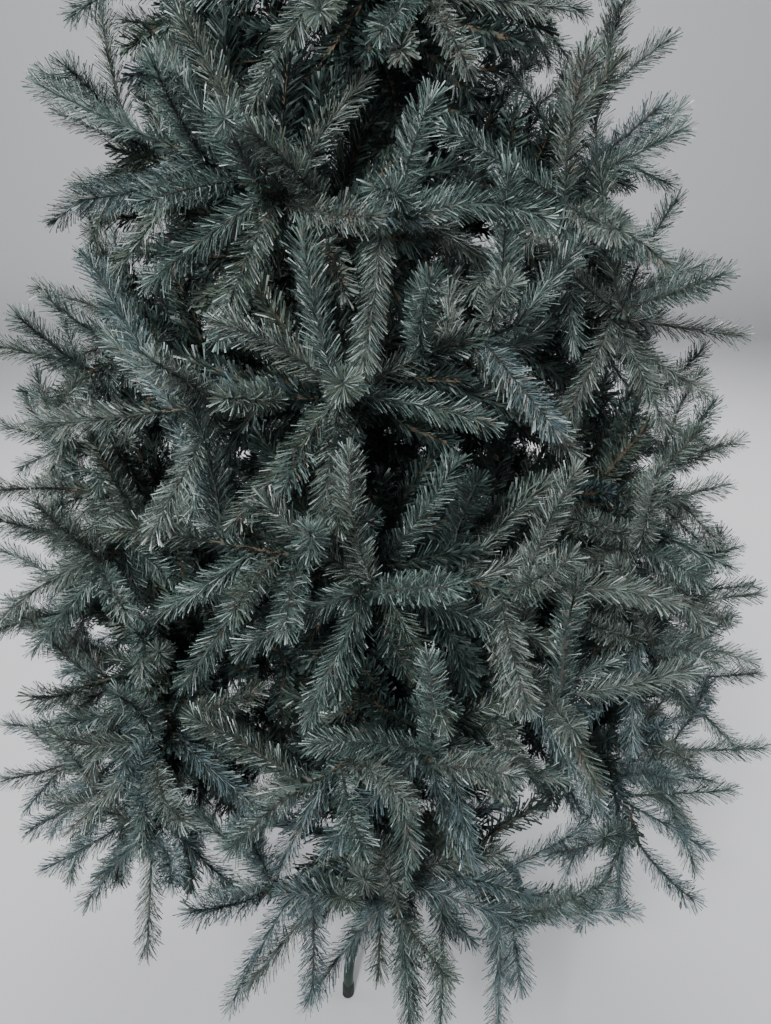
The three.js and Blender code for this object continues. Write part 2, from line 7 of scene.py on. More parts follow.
import logging
import math
from collections.abc import Iterator, Sequence
from dataclasses import dataclass, field
from enum import Enum

import bpy
import numpy as np
from mathutils import Matrix, Vector


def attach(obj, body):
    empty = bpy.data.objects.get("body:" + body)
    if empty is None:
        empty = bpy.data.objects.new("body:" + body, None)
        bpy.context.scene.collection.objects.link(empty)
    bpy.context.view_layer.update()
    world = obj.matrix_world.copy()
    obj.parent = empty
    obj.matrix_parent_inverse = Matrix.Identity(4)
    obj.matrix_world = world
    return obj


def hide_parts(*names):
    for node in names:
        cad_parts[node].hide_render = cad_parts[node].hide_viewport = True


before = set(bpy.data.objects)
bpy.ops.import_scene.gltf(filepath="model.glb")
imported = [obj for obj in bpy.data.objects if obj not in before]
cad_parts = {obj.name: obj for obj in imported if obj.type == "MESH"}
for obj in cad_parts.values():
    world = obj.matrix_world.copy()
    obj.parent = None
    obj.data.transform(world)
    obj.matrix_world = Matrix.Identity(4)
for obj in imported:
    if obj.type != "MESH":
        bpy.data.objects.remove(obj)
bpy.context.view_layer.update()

log = logging.getLogger("christmas_tree")

SEED = 20247
UP = np.array([0.0, 0.0, 1.0])
GOLDEN_TURN = 137.508
MOST_NEEDLES = 190_000
LEADER_TIER = 7
CHORDS = 200
STEEP = 0.95
SHARP_EDGE = 40

Colour = tuple[float, float, float]
Place = tuple[float, float, float]
Span = tuple[float, float]
Skin = tuple[np.ndarray, np.ndarray, np.ndarray]


class Draws:
    """The solids' seeded number source, so that the limbs here are the limbs there."""

    STEP = 0x6D2B79F5
    MASK = 0xFFFFFFFF

    def __init__(self, seed: int) -> None:
        """Starts the source from the number that fixes every draw."""
        self.state = seed & self.MASK

    def __call__(self) -> float:
        """Draws the next number.

        Returns:
            A number from 0 to 1.
        """
        self.state = (self.state + self.STEP) & self.MASK
        mixed = (self.state ^ (self.state >> 15)) * (self.state | 1) & self.MASK
        mixed ^= (mixed + (mixed ^ (mixed >> 7)) * (mixed | 61)) & self.MASK
        return (mixed ^ (mixed >> 14)) / (self.MASK + 1)


def unit(vectors: np.ndarray) -> np.ndarray:
    """Returns the vectors at length 1."""
    return vectors / np.maximum(np.linalg.norm(vectors, axis=-1, keepdims=True), 1e-12)


def outward(azimuth: np.ndarray | float) -> np.ndarray:
    """Returns (sin a, -cos a, 0), level and away from the pole, a in degrees from the front towards +X."""
    angle = np.radians(azimuth)
    return np.stack([np.sin(angle), -np.cos(angle), np.zeros_like(angle)], axis=-1)


def sides_of(direction: np.ndarray) -> tuple[np.ndarray, np.ndarray]:
    """Two directions square to each direction and to each other.

    Args:
        direction: Unit vectors, last axis 3.

    Returns:
        side = up x direction, or front x direction where it is steep, and lift = direction x side.
    """
    steep = np.abs(direction[..., 2:]) > STEEP
    side = unit(np.cross(np.where(steep, outward(0.0), UP), direction))
    return side, np.cross(direction, side)


def aimed(axis: np.ndarray, lean: np.ndarray, turn: np.ndarray) -> np.ndarray:
    """Directions that lean away from an axis.

    Args:
        axis: Unit vectors.
        lean: Degrees away from the axis.
        turn: Degrees round the axis.

    Returns:
        axis cos(lean) + (side cos(turn) + lift sin(turn)) sin(lean).
    """
    side, lift = sides_of(axis)
    lean, turn = np.radians(lean)[..., None], np.radians(turn)[..., None]
    return axis * np.cos(lean) + (side * np.cos(turn) + lift * np.sin(turn)) * np.sin(lean)


def smoothstep(low: float, high: float, value: np.ndarray) -> np.ndarray:
    """Returns 3x^2 - 2x^3, where x runs from 0 at low to 1 at high."""
    x = np.clip((value - low) / (high - low), 0, 1)
    return x * x * (3 - 2 * x)


@dataclass(frozen=True)
class Bends:
    """A batch of quadratic curves: the point at t is (1-t)^2 start + 2t(1-t) middle + t^2 end."""

    start: np.ndarray
    middle: np.ndarray
    end: np.ndarray

    def at(self, shares: np.ndarray) -> np.ndarray:
        """Returns the points at shares of shape (curves, steps), as (curves, steps, 3)."""
        t = shares[..., None]
        return (1 - t) ** 2 * self.start[:, None] + 2 * t * (1 - t) * self.middle[:, None] + t**2 * self.end[:, None]

    def along(self, shares: np.ndarray) -> np.ndarray:
        """Unit tangents of the curves.

        Args:
            shares: Shape (curves, steps).

        Returns:
            (1-t)(middle - start) + t(end - middle) at length 1, shape (curves, steps, 3).
        """
        t = shares[..., None]
        first, second = self.middle - self.start, self.end - self.middle
        return unit((1 - t) * first[:, None] + t * second[:, None])

    def lengths(self) -> np.ndarray:
        """Returns each curve's length, as the sum of its short chords."""
        return self._run()[:, -1]

    def shares_at(self, distances: np.ndarray) -> np.ndarray:
        """The shares that lie given distances along the curves.

        Args:
            distances: Shape (curves, steps).

        Returns:
            Shares of the same shape, read off the running length.
        """
        run = self._run()
        t = np.linspace(0, 1, run.shape[1])
        return np.stack([np.interp(wanted, lengths, t) for wanted, lengths in zip(distances, run)])

    def _run(self) -> np.ndarray:
        """Running length along each curve.

        Returns:
            The sum of the short chords up to each even share, shape (curves, chords + 1).
        """
        t = np.broadcast_to(np.linspace(0, 1, CHORDS + 1), (len(self.start), CHORDS + 1))
        steps = np.linalg.norm(np.diff(self.at(t), axis=1), axis=-1)
        return np.concatenate([np.zeros((len(steps), 1)), np.cumsum(steps, axis=1)], axis=1)

    @staticmethod
    def of(curves: Sequence["Bends"]) -> "Bends":
        """Returns one batch that holds all the curves."""
        return Bends(*(np.concatenate([getattr(c, part) for c in curves]) for part in ("start", "middle", "end")))


def upright(*heights: float) -> Bends:
    """Returns one curve up the pole's axis, from three heights."""
    return Bends(*(np.array([UP * height]) for height in heights))


@dataclass(frozen=True)
class Crown:
    """Outline of the whole crown, as its radius at each height."""

    height: float = 2.4
    radius: float = 0.69
    widest_at: float = 0.45
    power: float = 1.7
    bottom: float = 0.315
    top_radius: float = 0.055
    star_inset: float = 0.125
    star_inset_share: float = 0.42

    def radius_at(self, height: np.ndarray | float) -> np.ndarray:
        """Returns R (1 - s^p), and never under the top's radius, where s runs from the widest place to the top."""
        share = np.clip((np.asarray(height) - self.widest_at) / (self.height - self.widest_at), 0, 1)
        return np.maximum(self.radius * (1 - share**self.power), self.top_radius)

    def star(self, azimuth: float, height: float) -> np.ndarray:
        """Returns the centre of a star of tips: a tip's reach inside the outline."""
        radius = float(self.radius_at(height))
        return outward(azimuth) * (radius - min(self.star_inset, self.star_inset_share * radius)) + UP * height

    def holds(self, points: np.ndarray, slack: np.ndarray | float) -> np.ndarray:
        """Returns which points are inside the outline, let out by a slack."""
        within = np.hypot(points[..., 0], points[..., 1]) < self.radius_at(points[..., 2]) * slack
        return within & (points[..., 2] > self.bottom) & (points[..., 2] < self.height)


@dataclass
class Limb:
    """One limb: its path from the pole to a star, and two side twigs to stars of their own."""

    tier: int
    azimuth: float
    path: Bends
    twigs: list[Bends]


@dataclass
class Framework:
    """The limbs of all tiers, grown by the solids' rule."""

    crown: Crown = field(default_factory=Crown)
    limbs_in_tier: tuple[int, ...] = (6, 6, 5, 4, 4, 3, 2)
    first_azimuth: tuple[float, ...] = (2, 7, 0, -5, -20, 20, -10)
    lowest_star: float = 0.555
    step: float = 0.237
    step_loss: float = 0.0032
    lowest_rise: float = 14
    rise_step: float = 4
    arch: float = 7
    stagger: float = 0.042
    azimuth_play: float = 4
    height_play: float = 0.02
    limb_bend: float = 0.5
    twig_bend: float = 0.45
    fork_shares: Span = (0.6, 0.54)
    hub_face: float = 0.025
    limbs: list[Limb] = field(default_factory=list)
    hub_heights: list[float] = field(default_factory=list)

    def grow(self) -> None:
        """Fills limbs and hub_heights, tier by tier."""
        for tier, count in enumerate(self.limbs_in_tier):
            height = self.lowest_star + self.step * tier - self.step_loss * tier * tier
            rise = math.radians(self.lowest_rise + self.rise_step * tier)
            climb = rise + math.radians(self.arch)
            hub = height - np.hypot(*self.crown.star(0.0, height)[:2]) * math.tan(rise)
            self.hub_heights.append(hub + self.hub_face * math.tan(climb))
            for number in range(count):
                self.limbs.append(self._limb(tier, number, height, hub, climb))

    def _limb(self, tier: int, number: int, height: float, hub: float, climb: float) -> Limb:
        """Grows one limb.

        Args:
            tier: Counted from the floor.
            number: Counted round the pole.
            height: The tier's star height.
            hub: Height where the limb's line meets the pole's axis.
            climb: The limb's first slope in radians.

        Returns:
            The limb, whose path starts along its climb and bends to its star.
        """
        draw = Draws(SEED + 100 * tier + number)
        spacing = 360 / self.limbs_in_tier[tier]
        azimuth = self.first_azimuth[tier] + spacing * number
        stars = []
        for turn in (0, -1, 1):
            offset = spacing / 3 * turn + self.azimuth_play * (draw() - 0.5)
            stagger = self.stagger * turn * (1 if (tier + number) % 2 else -1)
            rise = self.height_play * (draw() - 0.5)
            stars.append(self.crown.star(azimuth + offset, height + stagger + rise))
        start = UP * hub
        way = outward(azimuth) * math.cos(climb) + UP * math.sin(climb)
        middle = start + way * self.limb_bend * np.linalg.norm(stars[0] - start)
        path = Bends(start[None], middle[None], stars[0][None])
        twigs = [self._twig(path, star, share) for star, share in zip(stars[1:], self.fork_shares)]
        return Limb(tier, azimuth, path, twigs)

    def _twig(self, path: Bends, star: np.ndarray, share: float) -> Bends:
        """Returns a side twig that leaves the limb along its own line and bends to a star."""
        fork, way = path.at(np.array([[share]]))[0], path.along(np.array([[share]]))[0]
        return Bends(fork, fork + way * self.twig_bend * np.linalg.norm(star - fork), star[None])


class Level(Enum):
    """Thirds of the crown, so that each joined piece stands for whole tiers."""

    LOW = (0, 1)
    MIDDLE = (2, 3)
    UPPER = (4, 5, 6, LEADER_TIER)

    @staticmethod
    def of(tier: int) -> "Level":
        """Returns the level that holds a tier."""
        return next(level for level in Level if tier in level.value)

    def masses(self) -> list[str]:
        """Finds the solids of foliage on this level.

        Returns:
            Their names, in order.
        """
        names = [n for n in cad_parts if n.startswith("mass_")]
        tiers = {n: LEADER_TIER if n == "mass_leader" else int(n.split("_")[1]) - 1 for n in names}
        return sorted(n for n, tier in tiers.items() if tier in self.value)


@dataclass
class Sprays:
    """Bent wires that needles stand out of: the tips, and the limbs and twigs they grow on."""

    bends: Bends
    level: np.ndarray
    reach: np.ndarray
    open_share: np.ndarray
    is_tip: np.ndarray

    def pick(self, mask: np.ndarray) -> "Sprays":
        """Returns the sprays where the mask is true, or those that a list of numbers names."""
        bends = Bends(self.bends.start[mask], self.bends.middle[mask], self.bends.end[mask])
        return Sprays(bends, self.level[mask], self.reach[mask], self.open_share[mask], self.is_tip[mask])

    @staticmethod
    def of(parts: Sequence["Sprays"]) -> "Sprays":
        """Joins batches of sprays.

        Args:
            parts: The batches, in order.

        Returns:
            One batch that holds all the sprays.
        """
        rest = ("level", "reach", "open_share", "is_tip")
        arrays = (np.concatenate([getattr(part, name) for part in parts]) for name in rest)
        return Sprays(Bends.of([part.bends for part in parts]), *arrays)


@dataclass
class SprayGrower:
    """Grows tips on twigs by the solids' rule, with more of them than the solids hold."""

    crown: Crown
    random: np.random.Generator
    length: float = 0.180
    spacing: float = 0.014
    sag: float = 0.010
    arch_share: float = 0.3
    droop_share: float = 0.7
    sway: float = 0.012
    lean_scatter: float = 6
    turn_scatter: float = 11
    sizes: Span = (0.9, 1.08)
    inner_sizes: Span = (0.85, 1.05)
    shortened: tuple[float, ...] = (1, 0.88, 0.76, 0.66, 0.56)
    slack: Span = (0.95, 1.02)
    upper_slack: float = 0.07
    upper_from: Span = (0.75, 1.2)
    open_from: Span = (0.70, 0.90)
    low_to: Span = (0.44, 0.52)
    star_from: float = 0.2
    star_turn: float = 30
    star_stagger: float = 14
    star_lean: float = 70
    star_lean_step: float = 4
    star_middle_lean: Span = (8, 34)
    star_middle_size: float = 0.84
    fringe_lean: float = 58
    fringe_most: float = 0.97
    sleeve_reach: float = 0.68
    sleeve_open: float = 0.15
    grown: list[Sprays] = field(default_factory=list)

    def grow(self, twig: Bends, back: np.ndarray, lean: np.ndarray, turn: np.ndarray, scale: np.ndarray | float,
             tier: int, in_star: bool) -> None:
        """Grows a tip at each distance back from a twig's end, where it stays inside the crown.

        Args:
            twig: One curve.
            back: Distances from the twig's end.
            lean: Degrees away from the twig.
            turn: Degrees round the twig.
            scale: Size of the tips against full size.
            tier: Tier of the limb, from which the level follows.
            in_star: True for the stars at the crown's face.
        """
        count = len(back)
        share = twig.shares_at((twig.lengths() - back)[None])
        base, axis = twig.at(share)[0], twig.along(share)[0]
        lean = lean + self.random.normal(0, self.lean_scatter, count)
        way = aimed(axis, lean, turn + self.random.normal(0, self.turn_scatter, count))
        full = self.length * scale * self.random.uniform(*self.sizes, count)
        if not in_star:
            full = full * self.random.uniform(*self.inner_sizes, count)
        most = self.slack[1] + self.upper_slack * smoothstep(*self.upper_from, base[:, 2])
        slack = self.random.uniform(self.slack[0], most)
        options = np.array(self.shortened)[:, None] * full
        ends = base + way * options[..., None]
        fits = self.crown.holds(ends, slack)
        size = options[np.argmax(fits, axis=0), np.arange(count)]
        side, lift = sides_of(way)
        swing = self.random.normal(0, self.sway, (count, 2))
        drop = UP * (self.sag * self.random.random((count, 1)))
        middle = base + way * size[:, None] / 2 + drop * self.arch_share + side * swing[:, :1] + lift * swing[:, 1:]
        end = base + way * size[:, None] - drop * self.droop_share
        outness = np.hypot(end[:, 0], end[:, 1]) / self.crown.radius_at(end[:, 2])
        low = 1 - smoothstep(*self.low_to, end[:, 2])
        open_share = np.full(count, 1.0) if in_star else np.maximum(smoothstep(*self.open_from, outness), low)
        reach = np.full(count, np.mean(scale) ** 0.5)
        tips = Sprays(Bends(base, middle, end), self._levels(tier, count), reach, open_share, np.full(count, True))
        self.grown.append(tips.pick(fits.any(axis=0)))

    def star(self, twig: Bends, count: int, scale: float, tier: int) -> None:
        """Grows a star at a twig's end: a shorter tip straight on, and the others leaning out round it.

        Args:
            twig: One curve.
            count: Tips in the star.
            scale: Size of the tips against full size.
            tier: Tier of the limb.
        """
        i = np.arange(count)
        outer_lean = self.star_lean - self.star_lean_step * (i % 3)
        lean = np.where(i == 0, self.random.uniform(*self.star_middle_lean), outer_lean)
        turn = self.star_turn + 360 * i / (count - 1) + self.star_stagger * (i % 2)
        sizes = np.where(i == 0, self.star_middle_size, 1.0) * scale
        self.grow(twig, self.spacing * (i + self.star_from), lean, turn, sizes, tier, True)

    def fringe(self, twig: Bends, near: float, far: float, gap: float, scale: float, tier: int) -> None:
        """Grows shorter tips along a twig, a golden turn apart.

        Args:
            twig: One curve.
            near: Least distance from the twig's end.
            far: Greatest distance from the twig's end.
            gap: Distance between tips.
            scale: Size of the tips against full size.
            tier: Tier of the limb.
        """
        back = np.arange(near, min(far, float(twig.lengths()[0]) * self.fringe_most), gap)
        if len(back):
            turn = GOLDEN_TURN * np.arange(len(back)) + self.random.uniform(0, 360)
            self.grow(twig, back, np.full(len(back), self.fringe_lean), turn, scale, tier, False)

    def sleeve(self, twig: Bends, tier: int) -> None:
        """Wraps a limb or twig itself in short needles."""
        reach, bare = np.full(1, self.sleeve_reach), np.full(1, self.sleeve_open)
        self.grown.append(Sprays(twig, self._levels(tier, 1), reach, bare, np.full(1, False)))

    @staticmethod
    def _levels(tier: int, count: int) -> np.ndarray:
        """Returns the number of the level that holds a tier, once for each of a count."""
        return np.full(count, list(Level).index(Level.of(tier)))


def in_scene(name: str, data: bpy.types.ID) -> bpy.types.Object:
    """Puts data into the scene.

    Args:
        name: The object's name.
        data: A mesh, light or camera.

    Returns:
        The new object that holds it.
    """
    thing = bpy.data.objects.new(name, data)
    bpy.context.scene.collection.objects.link(thing)
    return thing


def new_piece(name: str, skin: Skin, material: bpy.types.Material, nodes: Sequence[str],
              smooth: bool = True) -> None:
    """Puts a skin into a mesh object at the origin that rides on the tree's one body.

    Args:
        name: The piece's name.
        skin: Vertices of shape (n, 3), and the vertex numbers of quads (q, 4) and of triangles (t, 3).
        material: Its finish.
        nodes: The solids that it stands for.
        smooth: True for smooth shading that keeps sharp edges.
    """
    vertices, quads, triangles = skin
    mesh = bpy.data.meshes.new(name)
    mesh.vertices.add(len(vertices))
    mesh.vertices.foreach_set("co", vertices.astype(np.float32).ravel())
    corners = np.concatenate([quads.ravel(), triangles.ravel()]).astype(np.int32)
    mesh.loops.add(len(corners))
    mesh.loops.foreach_set("vertex_index", corners)
    starts = np.concatenate([np.arange(len(quads)) * 4, len(quads) * 4 + np.arange(len(triangles)) * 3])
    mesh.polygons.add(len(starts))
    mesh.polygons.foreach_set("loop_start", starts.astype(np.int32))
    mesh.update(calc_edges=True)
    mesh.validate()
    if smooth:
        mesh.shade_smooth()
        mesh.set_sharp_from_angle(angle=math.radians(SHARP_EDGE))
    mesh.materials.append(material)
    piece = in_scene(name, mesh)
    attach(piece, "root")
    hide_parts(*nodes)
    log.info("%s: %d vertices, %d faces", name, len(vertices), len(starts))


def ring_angles(sides: int) -> np.ndarray:
    """Returns even angles round a ring, in radians."""
    return np.arange(sides) * 2 * math.pi / sides


def spokes(side: np.ndarray, lift: np.ndarray, sides: int) -> np.ndarray:
    """Returns side cos a + lift sin a for each ring angle a, as (..., sides, 3)."""
    angle = ring_angles(sides)[:, None]
    return side[..., None, :] * np.cos(angle) + lift[..., None, :] * np.sin(angle)


def ring_quads(spots: np.ndarray) -> np.ndarray:
    """Quads between neighbouring rings.

    Args:
        spots: Vertex numbers, shape (..., rings, sides).

    Returns:
        Four vertex numbers for each quad, shape (n, 4).
    """
    after = np.roll(spots, -1, axis=-1)
    corners = [spots[..., :-1, :], after[..., :-1, :], after[..., 1:, :], spots[..., 1:, :]]
    return np.stack(corners, axis=-1).reshape(-1, 4)


def grid_skin(rings: np.ndarray) -> Skin:
    """Closed skins over rings of points.

    Args:
        rings: Shape (skins, rings, sides, 3), each ring counterclockwise about the way the rings run.

    Returns:
        Vertices, quads between neighbouring rings, and triangles from each end ring to its own middle.
    """
    skins, steps, sides, _ = rings.shape
    spots = np.arange(skins * steps * sides).reshape(skins, steps, sides)
    after = np.roll(spots, -1, axis=2)
    first = spots.size + np.arange(skins)[:, None]
    last = first + skins
    foot = np.stack([first + 0 * spots[:, 0], after[:, 0], spots[:, 0]], axis=-1)
    head = np.stack([last + 0 * spots[:, -1], spots[:, -1], after[:, -1]], axis=-1)
    middles = np.concatenate([rings[:, 0].mean(axis=1), rings[:, -1].mean(axis=1)])
    vertices = np.concatenate([rings.reshape(-1, 3), middles])
    return vertices, ring_quads(spots), np.concatenate([foot, head]).reshape(-1, 3)


def tubes_along(bends: Bends, shares: np.ndarray, radii: np.ndarray, sides: int) -> np.ndarray:
    """Rings carried along curves.

    Args:
        bends: The curves.
        shares: Shape (curves, steps).
        radii: Broadcasts to (curves, steps, sides).
        sides: Points in a ring.

    Returns:
        centre + r (side cos a + lift sin a) for each ring angle a, shape (curves, steps, sides, 3).
    """
    centre, way = bends.at(shares), bends.along(shares)
    spoke = spokes(*sides_of(way), sides)
    return centre[:, :, None] + spoke * np.broadcast_to(radii, spoke.shape[:3])[..., None]


def turned(profile: Sequence[Span], sides: int) -> np.ndarray:
    """Rings of a turned form about the Z axis.

    Args:
        profile: Radius and height pairs, from the bottom up the outside.
        sides: Points in a ring.

    Returns:
        (r cos a, r sin a, z) for each pair and each angle a, shape (1, pairs, sides, 3).
    """
    radius, height = np.array(profile, float).T
    angle = ring_angles(sides)
    rings = [radius[:, None] * np.cos(angle), radius[:, None] * np.sin(angle), height[:, None] + 0 * angle]
    return np.stack(rings, axis=-1)[None]


def joined(skins: Sequence[Skin]) -> Skin:
    """Joins skins into one.

    Args:
        skins: The skins, in order.

    Returns:
        All their vertices, quads and triangles, with the vertex numbers moved on.
    """
    vertices, quads, triangles = zip(*skins)
    offsets = np.cumsum([0] + [len(v) for v in vertices[:-1]])
    quads, triangles = ([faces + o for faces, o in zip(kind, offsets)] for kind in (quads, triangles))
    return np.concatenate(vertices), np.concatenate(quads), np.concatenate(triangles)


class Shade:
    """A node socket that takes part in plain arithmetic, each operation adding one Math node."""

    def __init__(self, graph: "Graph", socket: bpy.types.NodeSocket) -> None:
        """Wraps an output socket of a material's nodes."""
        self.graph, self.socket = graph, socket

    def _maths(self, operation: str, first: "Shade | float", second: "Shade | float") -> "Shade":
        """Returns the result of a Math node."""
        node = self.graph.node("ShaderNodeMath", {"operation": operation}, {0: first, 1: second})
        return Shade(self.graph, node.outputs[0])

    def __add__(self, other: "Shade | float") -> "Shade":
        """Returns self + other."""
        return self._maths("ADD", self, other)

    __radd__ = __add__

    def __mul__(self, other: "Shade | float") -> "Shade":
        """Returns self * other."""
        return self._maths("MULTIPLY", self, other)

    __rmul__ = __mul__

    def ramp(self, low: float, high: float) -> "Shade":
        """Smooth step, 3x^2 - 2x^3.

        Args:
            low: Where the step begins, at 0.
            high: Where it ends, at 1.

        Returns:
            The step of this socket's value.
        """
        inputs = {"Value": self, "From Min": low, "From Max": high}
        node = self.graph.node("ShaderNodeMapRange", {"interpolation_type": "SMOOTHSTEP"}, inputs)
        return Shade(self.graph, node.outputs[0])


class Graph:
    """The nodes of one material."""

    def __init__(self, name: str) -> None:
        """Makes a material that holds a Principled shader and its output.

        Args:
            name: The material's name.
        """
        self.material = bpy.data.materials.new(name)
        self.material.use_nodes = True
        self.nodes, self.links = self.material.node_tree.nodes, self.material.node_tree.links
        self.nodes.clear()
        self.shader = self.node("ShaderNodeBsdfPrincipled", {}, {})
        self.node("ShaderNodeOutputMaterial", {}, {"Surface": Shade(self, self.shader.outputs[0])})

    def node(self, kind: str, settings: dict[str, object], inputs: dict[str | int, object]) -> bpy.types.Node:
        """Adds a node.

        Args:
            kind: The node's type.
            settings: Its own options.
            inputs: A value or a Shade for each socket named.

        Returns:
            The node.
        """
        node = self.nodes.new(kind)
        for option, value in settings.items():
            setattr(node, option, value)
        self.feed(node, inputs)
        return node

    def feed(self, node: bpy.types.Node, inputs: dict[str | int, object]) -> None:
        """Sets or links a node's sockets.

        Args:
            node: The node.
            inputs: A value or a Shade for each socket named.
        """
        for socket, value in inputs.items():
            if isinstance(value, Shade):
                self.links.new(value.socket, node.inputs[socket])
            else:
                node.inputs[socket].default_value = value

    def place(self) -> Shade:
        """Returns the object's own coordinates."""
        return Shade(self, self.node("ShaderNodeTexCoord", {}, {}).outputs["Object"])

    def noise(self, scale: float, detail: float, stretch: Place = (1, 1, 1)) -> Shade:
        """Noise over the object's own coordinates.

        Args:
            scale: Waves per metre.
            detail: Octaves.
            stretch: Scale along each axis.

        Returns:
            Values of about 0 to 1.
        """
        mapped = self.node("ShaderNodeMapping", {}, {"Vector": self.place(), "Scale": stretch})
        inputs = {"Vector": Shade(self, mapped.outputs[0]), "Scale": scale, "Detail": detail}
        return Shade(self, self.node("ShaderNodeTexNoise", {}, inputs).outputs[0])

    def blend(self, share: Shade, first: Colour | Shade, second: Colour | Shade) -> Shade:
        """Mixes two colours.

        Args:
            share: How much of the second, 0 to 1.
            first: The colour at 0.
            second: The colour at 1.

        Returns:
            The colour between them.
        """
        colours = [c if isinstance(c, Shade) else (*c, 1.0) for c in (first, second)]
        node = self.node("ShaderNodeMix", {"data_type": "RGBA"}, {0: share, 6: colours[0], 7: colours[1]})
        return Shade(self, node.outputs[2])

    def relief(self, height: Shade, depth: float, strength: float) -> Shade:
        """Returns normals bent by a height."""
        node = self.node("ShaderNodeBump", {}, {"Height": height, "Distance": depth, "Strength": strength})
        return Shade(self, node.outputs[0])


@dataclass(frozen=True)
class NeedleFinish:
    """Thin PVC strip in one plain colour: slightly waxy, and matt at a glancing angle."""

    name: str
    colour: Colour
    roughness: float = 0.36
    specular: float = 0.6

    def material(self) -> bpy.types.Material:
        """Makes the finish.

        Returns:
            The material, all of whose values are plain.
        """
        graph = Graph(self.name)
        graph.feed(graph.shader, {
            "Base Color": (*self.colour, 1.0),
            "Roughness": self.roughness,
            "Specular IOR Level": self.specular,
        })
        return graph.material


class Tint(Enum):
    """Needle colours, dealt out by spray. The dark green tint is painted shade, and the palest tint is painted
    highlight.
    """

    SEA = NeedleFinish("needles_sea_green", (0.077, 0.119, 0.105))
    SAGE = NeedleFinish("needles_sage", (0.130, 0.151, 0.130))
    SPRUCE = NeedleFinish("needles_blue_spruce", (0.091, 0.137, 0.151))
    MOSS = NeedleFinish("needles_moss", (0.082, 0.106, 0.082))
    # Painted shade: dark needles for hidden sprays and for strays in every spray, standing for the shade inside the
    # crown and between needles.
    DEEP = NeedleFinish("needles_deep_green", (0.020, 0.034, 0.030), 0.42, 0.5)
    # Painted highlight: pale needles strayed into open sprays, standing for glints on the film.
    FROST = NeedleFinish("needles_frost", (0.272, 0.336, 0.318))
    TAN = NeedleFinish("needles_tan", (0.205, 0.165, 0.140), 0.5, 0.4)


@dataclass(frozen=True)
class TapeFinish:
    """Brown and green strip wound round the wires: its colour changes from turn to turn, over a fine ribbing.

    The roughness is the least and what the pattern adds, and the relief is a depth and a strength.
    """

    name: str = "wound_tape"
    brown: Colour = (0.085, 0.062, 0.040)
    green: Colour = (0.035, 0.055, 0.042)
    patch_waves: float = 38
    patch_edges: Span = (0.42, 0.6)
    rib_waves: float = 420
    roughness: Span = (0.62, 0.2)
    relief: Span = (0.0006, 0.5)

    def material(self) -> bpy.types.Material:
        """Makes the finish.

        Returns:
            The material: two colours by noise, and ribs across the strip as relief.
        """
        graph = Graph(self.name)
        patches = graph.noise(self.patch_waves, 3).ramp(*self.patch_edges)
        fine = graph.noise(self.rib_waves, 2)
        graph.feed(graph.shader, {
            "Base Color": graph.blend(patches, self.brown, self.green),
            "Roughness": self.roughness[0] + self.roughness[1] * fine,
            "Normal": graph.relief(fine, *self.relief),
        })
        return graph.material


@dataclass(frozen=True)
class TubePaint:
    """Dark green baked paint on steel tube, with a faint orange peel, long rubbed streaks and dust.

    The roughness is the least and what the pattern adds, and the relief is a depth and a strength.
    """

    name: str = "tube_paint"
    colour: Colour = (0.012, 0.030, 0.021)
    rubbed: Colour = (0.030, 0.052, 0.042)
    streak_waves: float = 60
    streak_stretch: Place = (1, 1, 0.06)
    streak_edges: Span = (0.52, 0.74)
    cloud_waves: float = 9
    cloud_edges: Span = (0.4, 0.7)
    peel_waves: float = 700
    roughness: Span = (0.3, 0.28)
    relief: Span = (0.0003, 0.25)

    def material(self) -> bpy.types.Material:
        """Makes the finish.

        Returns:
            The material: rubbed streaks lighten and dull the paint, and fine noise is its orange peel.
        """
        graph = Graph(self.name)
        streaks = graph.noise(self.streak_waves, 4, self.streak_stretch).ramp(*self.streak_edges)
        clouds = graph.noise(self.cloud_waves, 3).ramp(*self.cloud_edges)
        dull = streaks * 0.6 + clouds * 0.4
        graph.feed(graph.shader, {
            "Base Color": graph.blend(dull, self.colour, self.rubbed),
            "Roughness": self.roughness[0] + self.roughness[1] * dull,
            "Specular IOR Level": 0.5,
            "Normal": graph.relief(graph.noise(self.peel_waves, 2), *self.relief),
        })
        return graph.material


@dataclass(frozen=True)
class CapRubber:
    """Moulded black-green rubber with a fine grain and dust in it.

    The roughness is the least and what the pattern adds, and the relief is a depth and a strength.
    """

    name: str = "cap_rubber"
    colour: Colour = (0.008, 0.013, 0.011)
    dusty: Colour = (0.035, 0.038, 0.036)
    dust_waves: float = 55
    dust_edges: Span = (0.48, 0.8)
    grain_waves: float = 1400
    roughness: Span = (0.58, 0.3)
    relief: Span = (0.0003, 0.4)

    def material(self) -> bpy.types.Material:
        """Makes the finish.

        Returns:
            The material: dust by clouds of noise, and a grain as relief.
        """
        graph = Graph(self.name)
        dust = graph.noise(self.dust_waves, 4).ramp(*self.dust_edges)
        graph.feed(graph.shader, {
            "Base Color": graph.blend(dust, self.colour, self.dusty),
            "Roughness": self.roughness[0] + self.roughness[1] * dust,
            "Normal": graph.relief(graph.noise(self.grain_waves, 2), *self.relief),
        })
        return graph.material


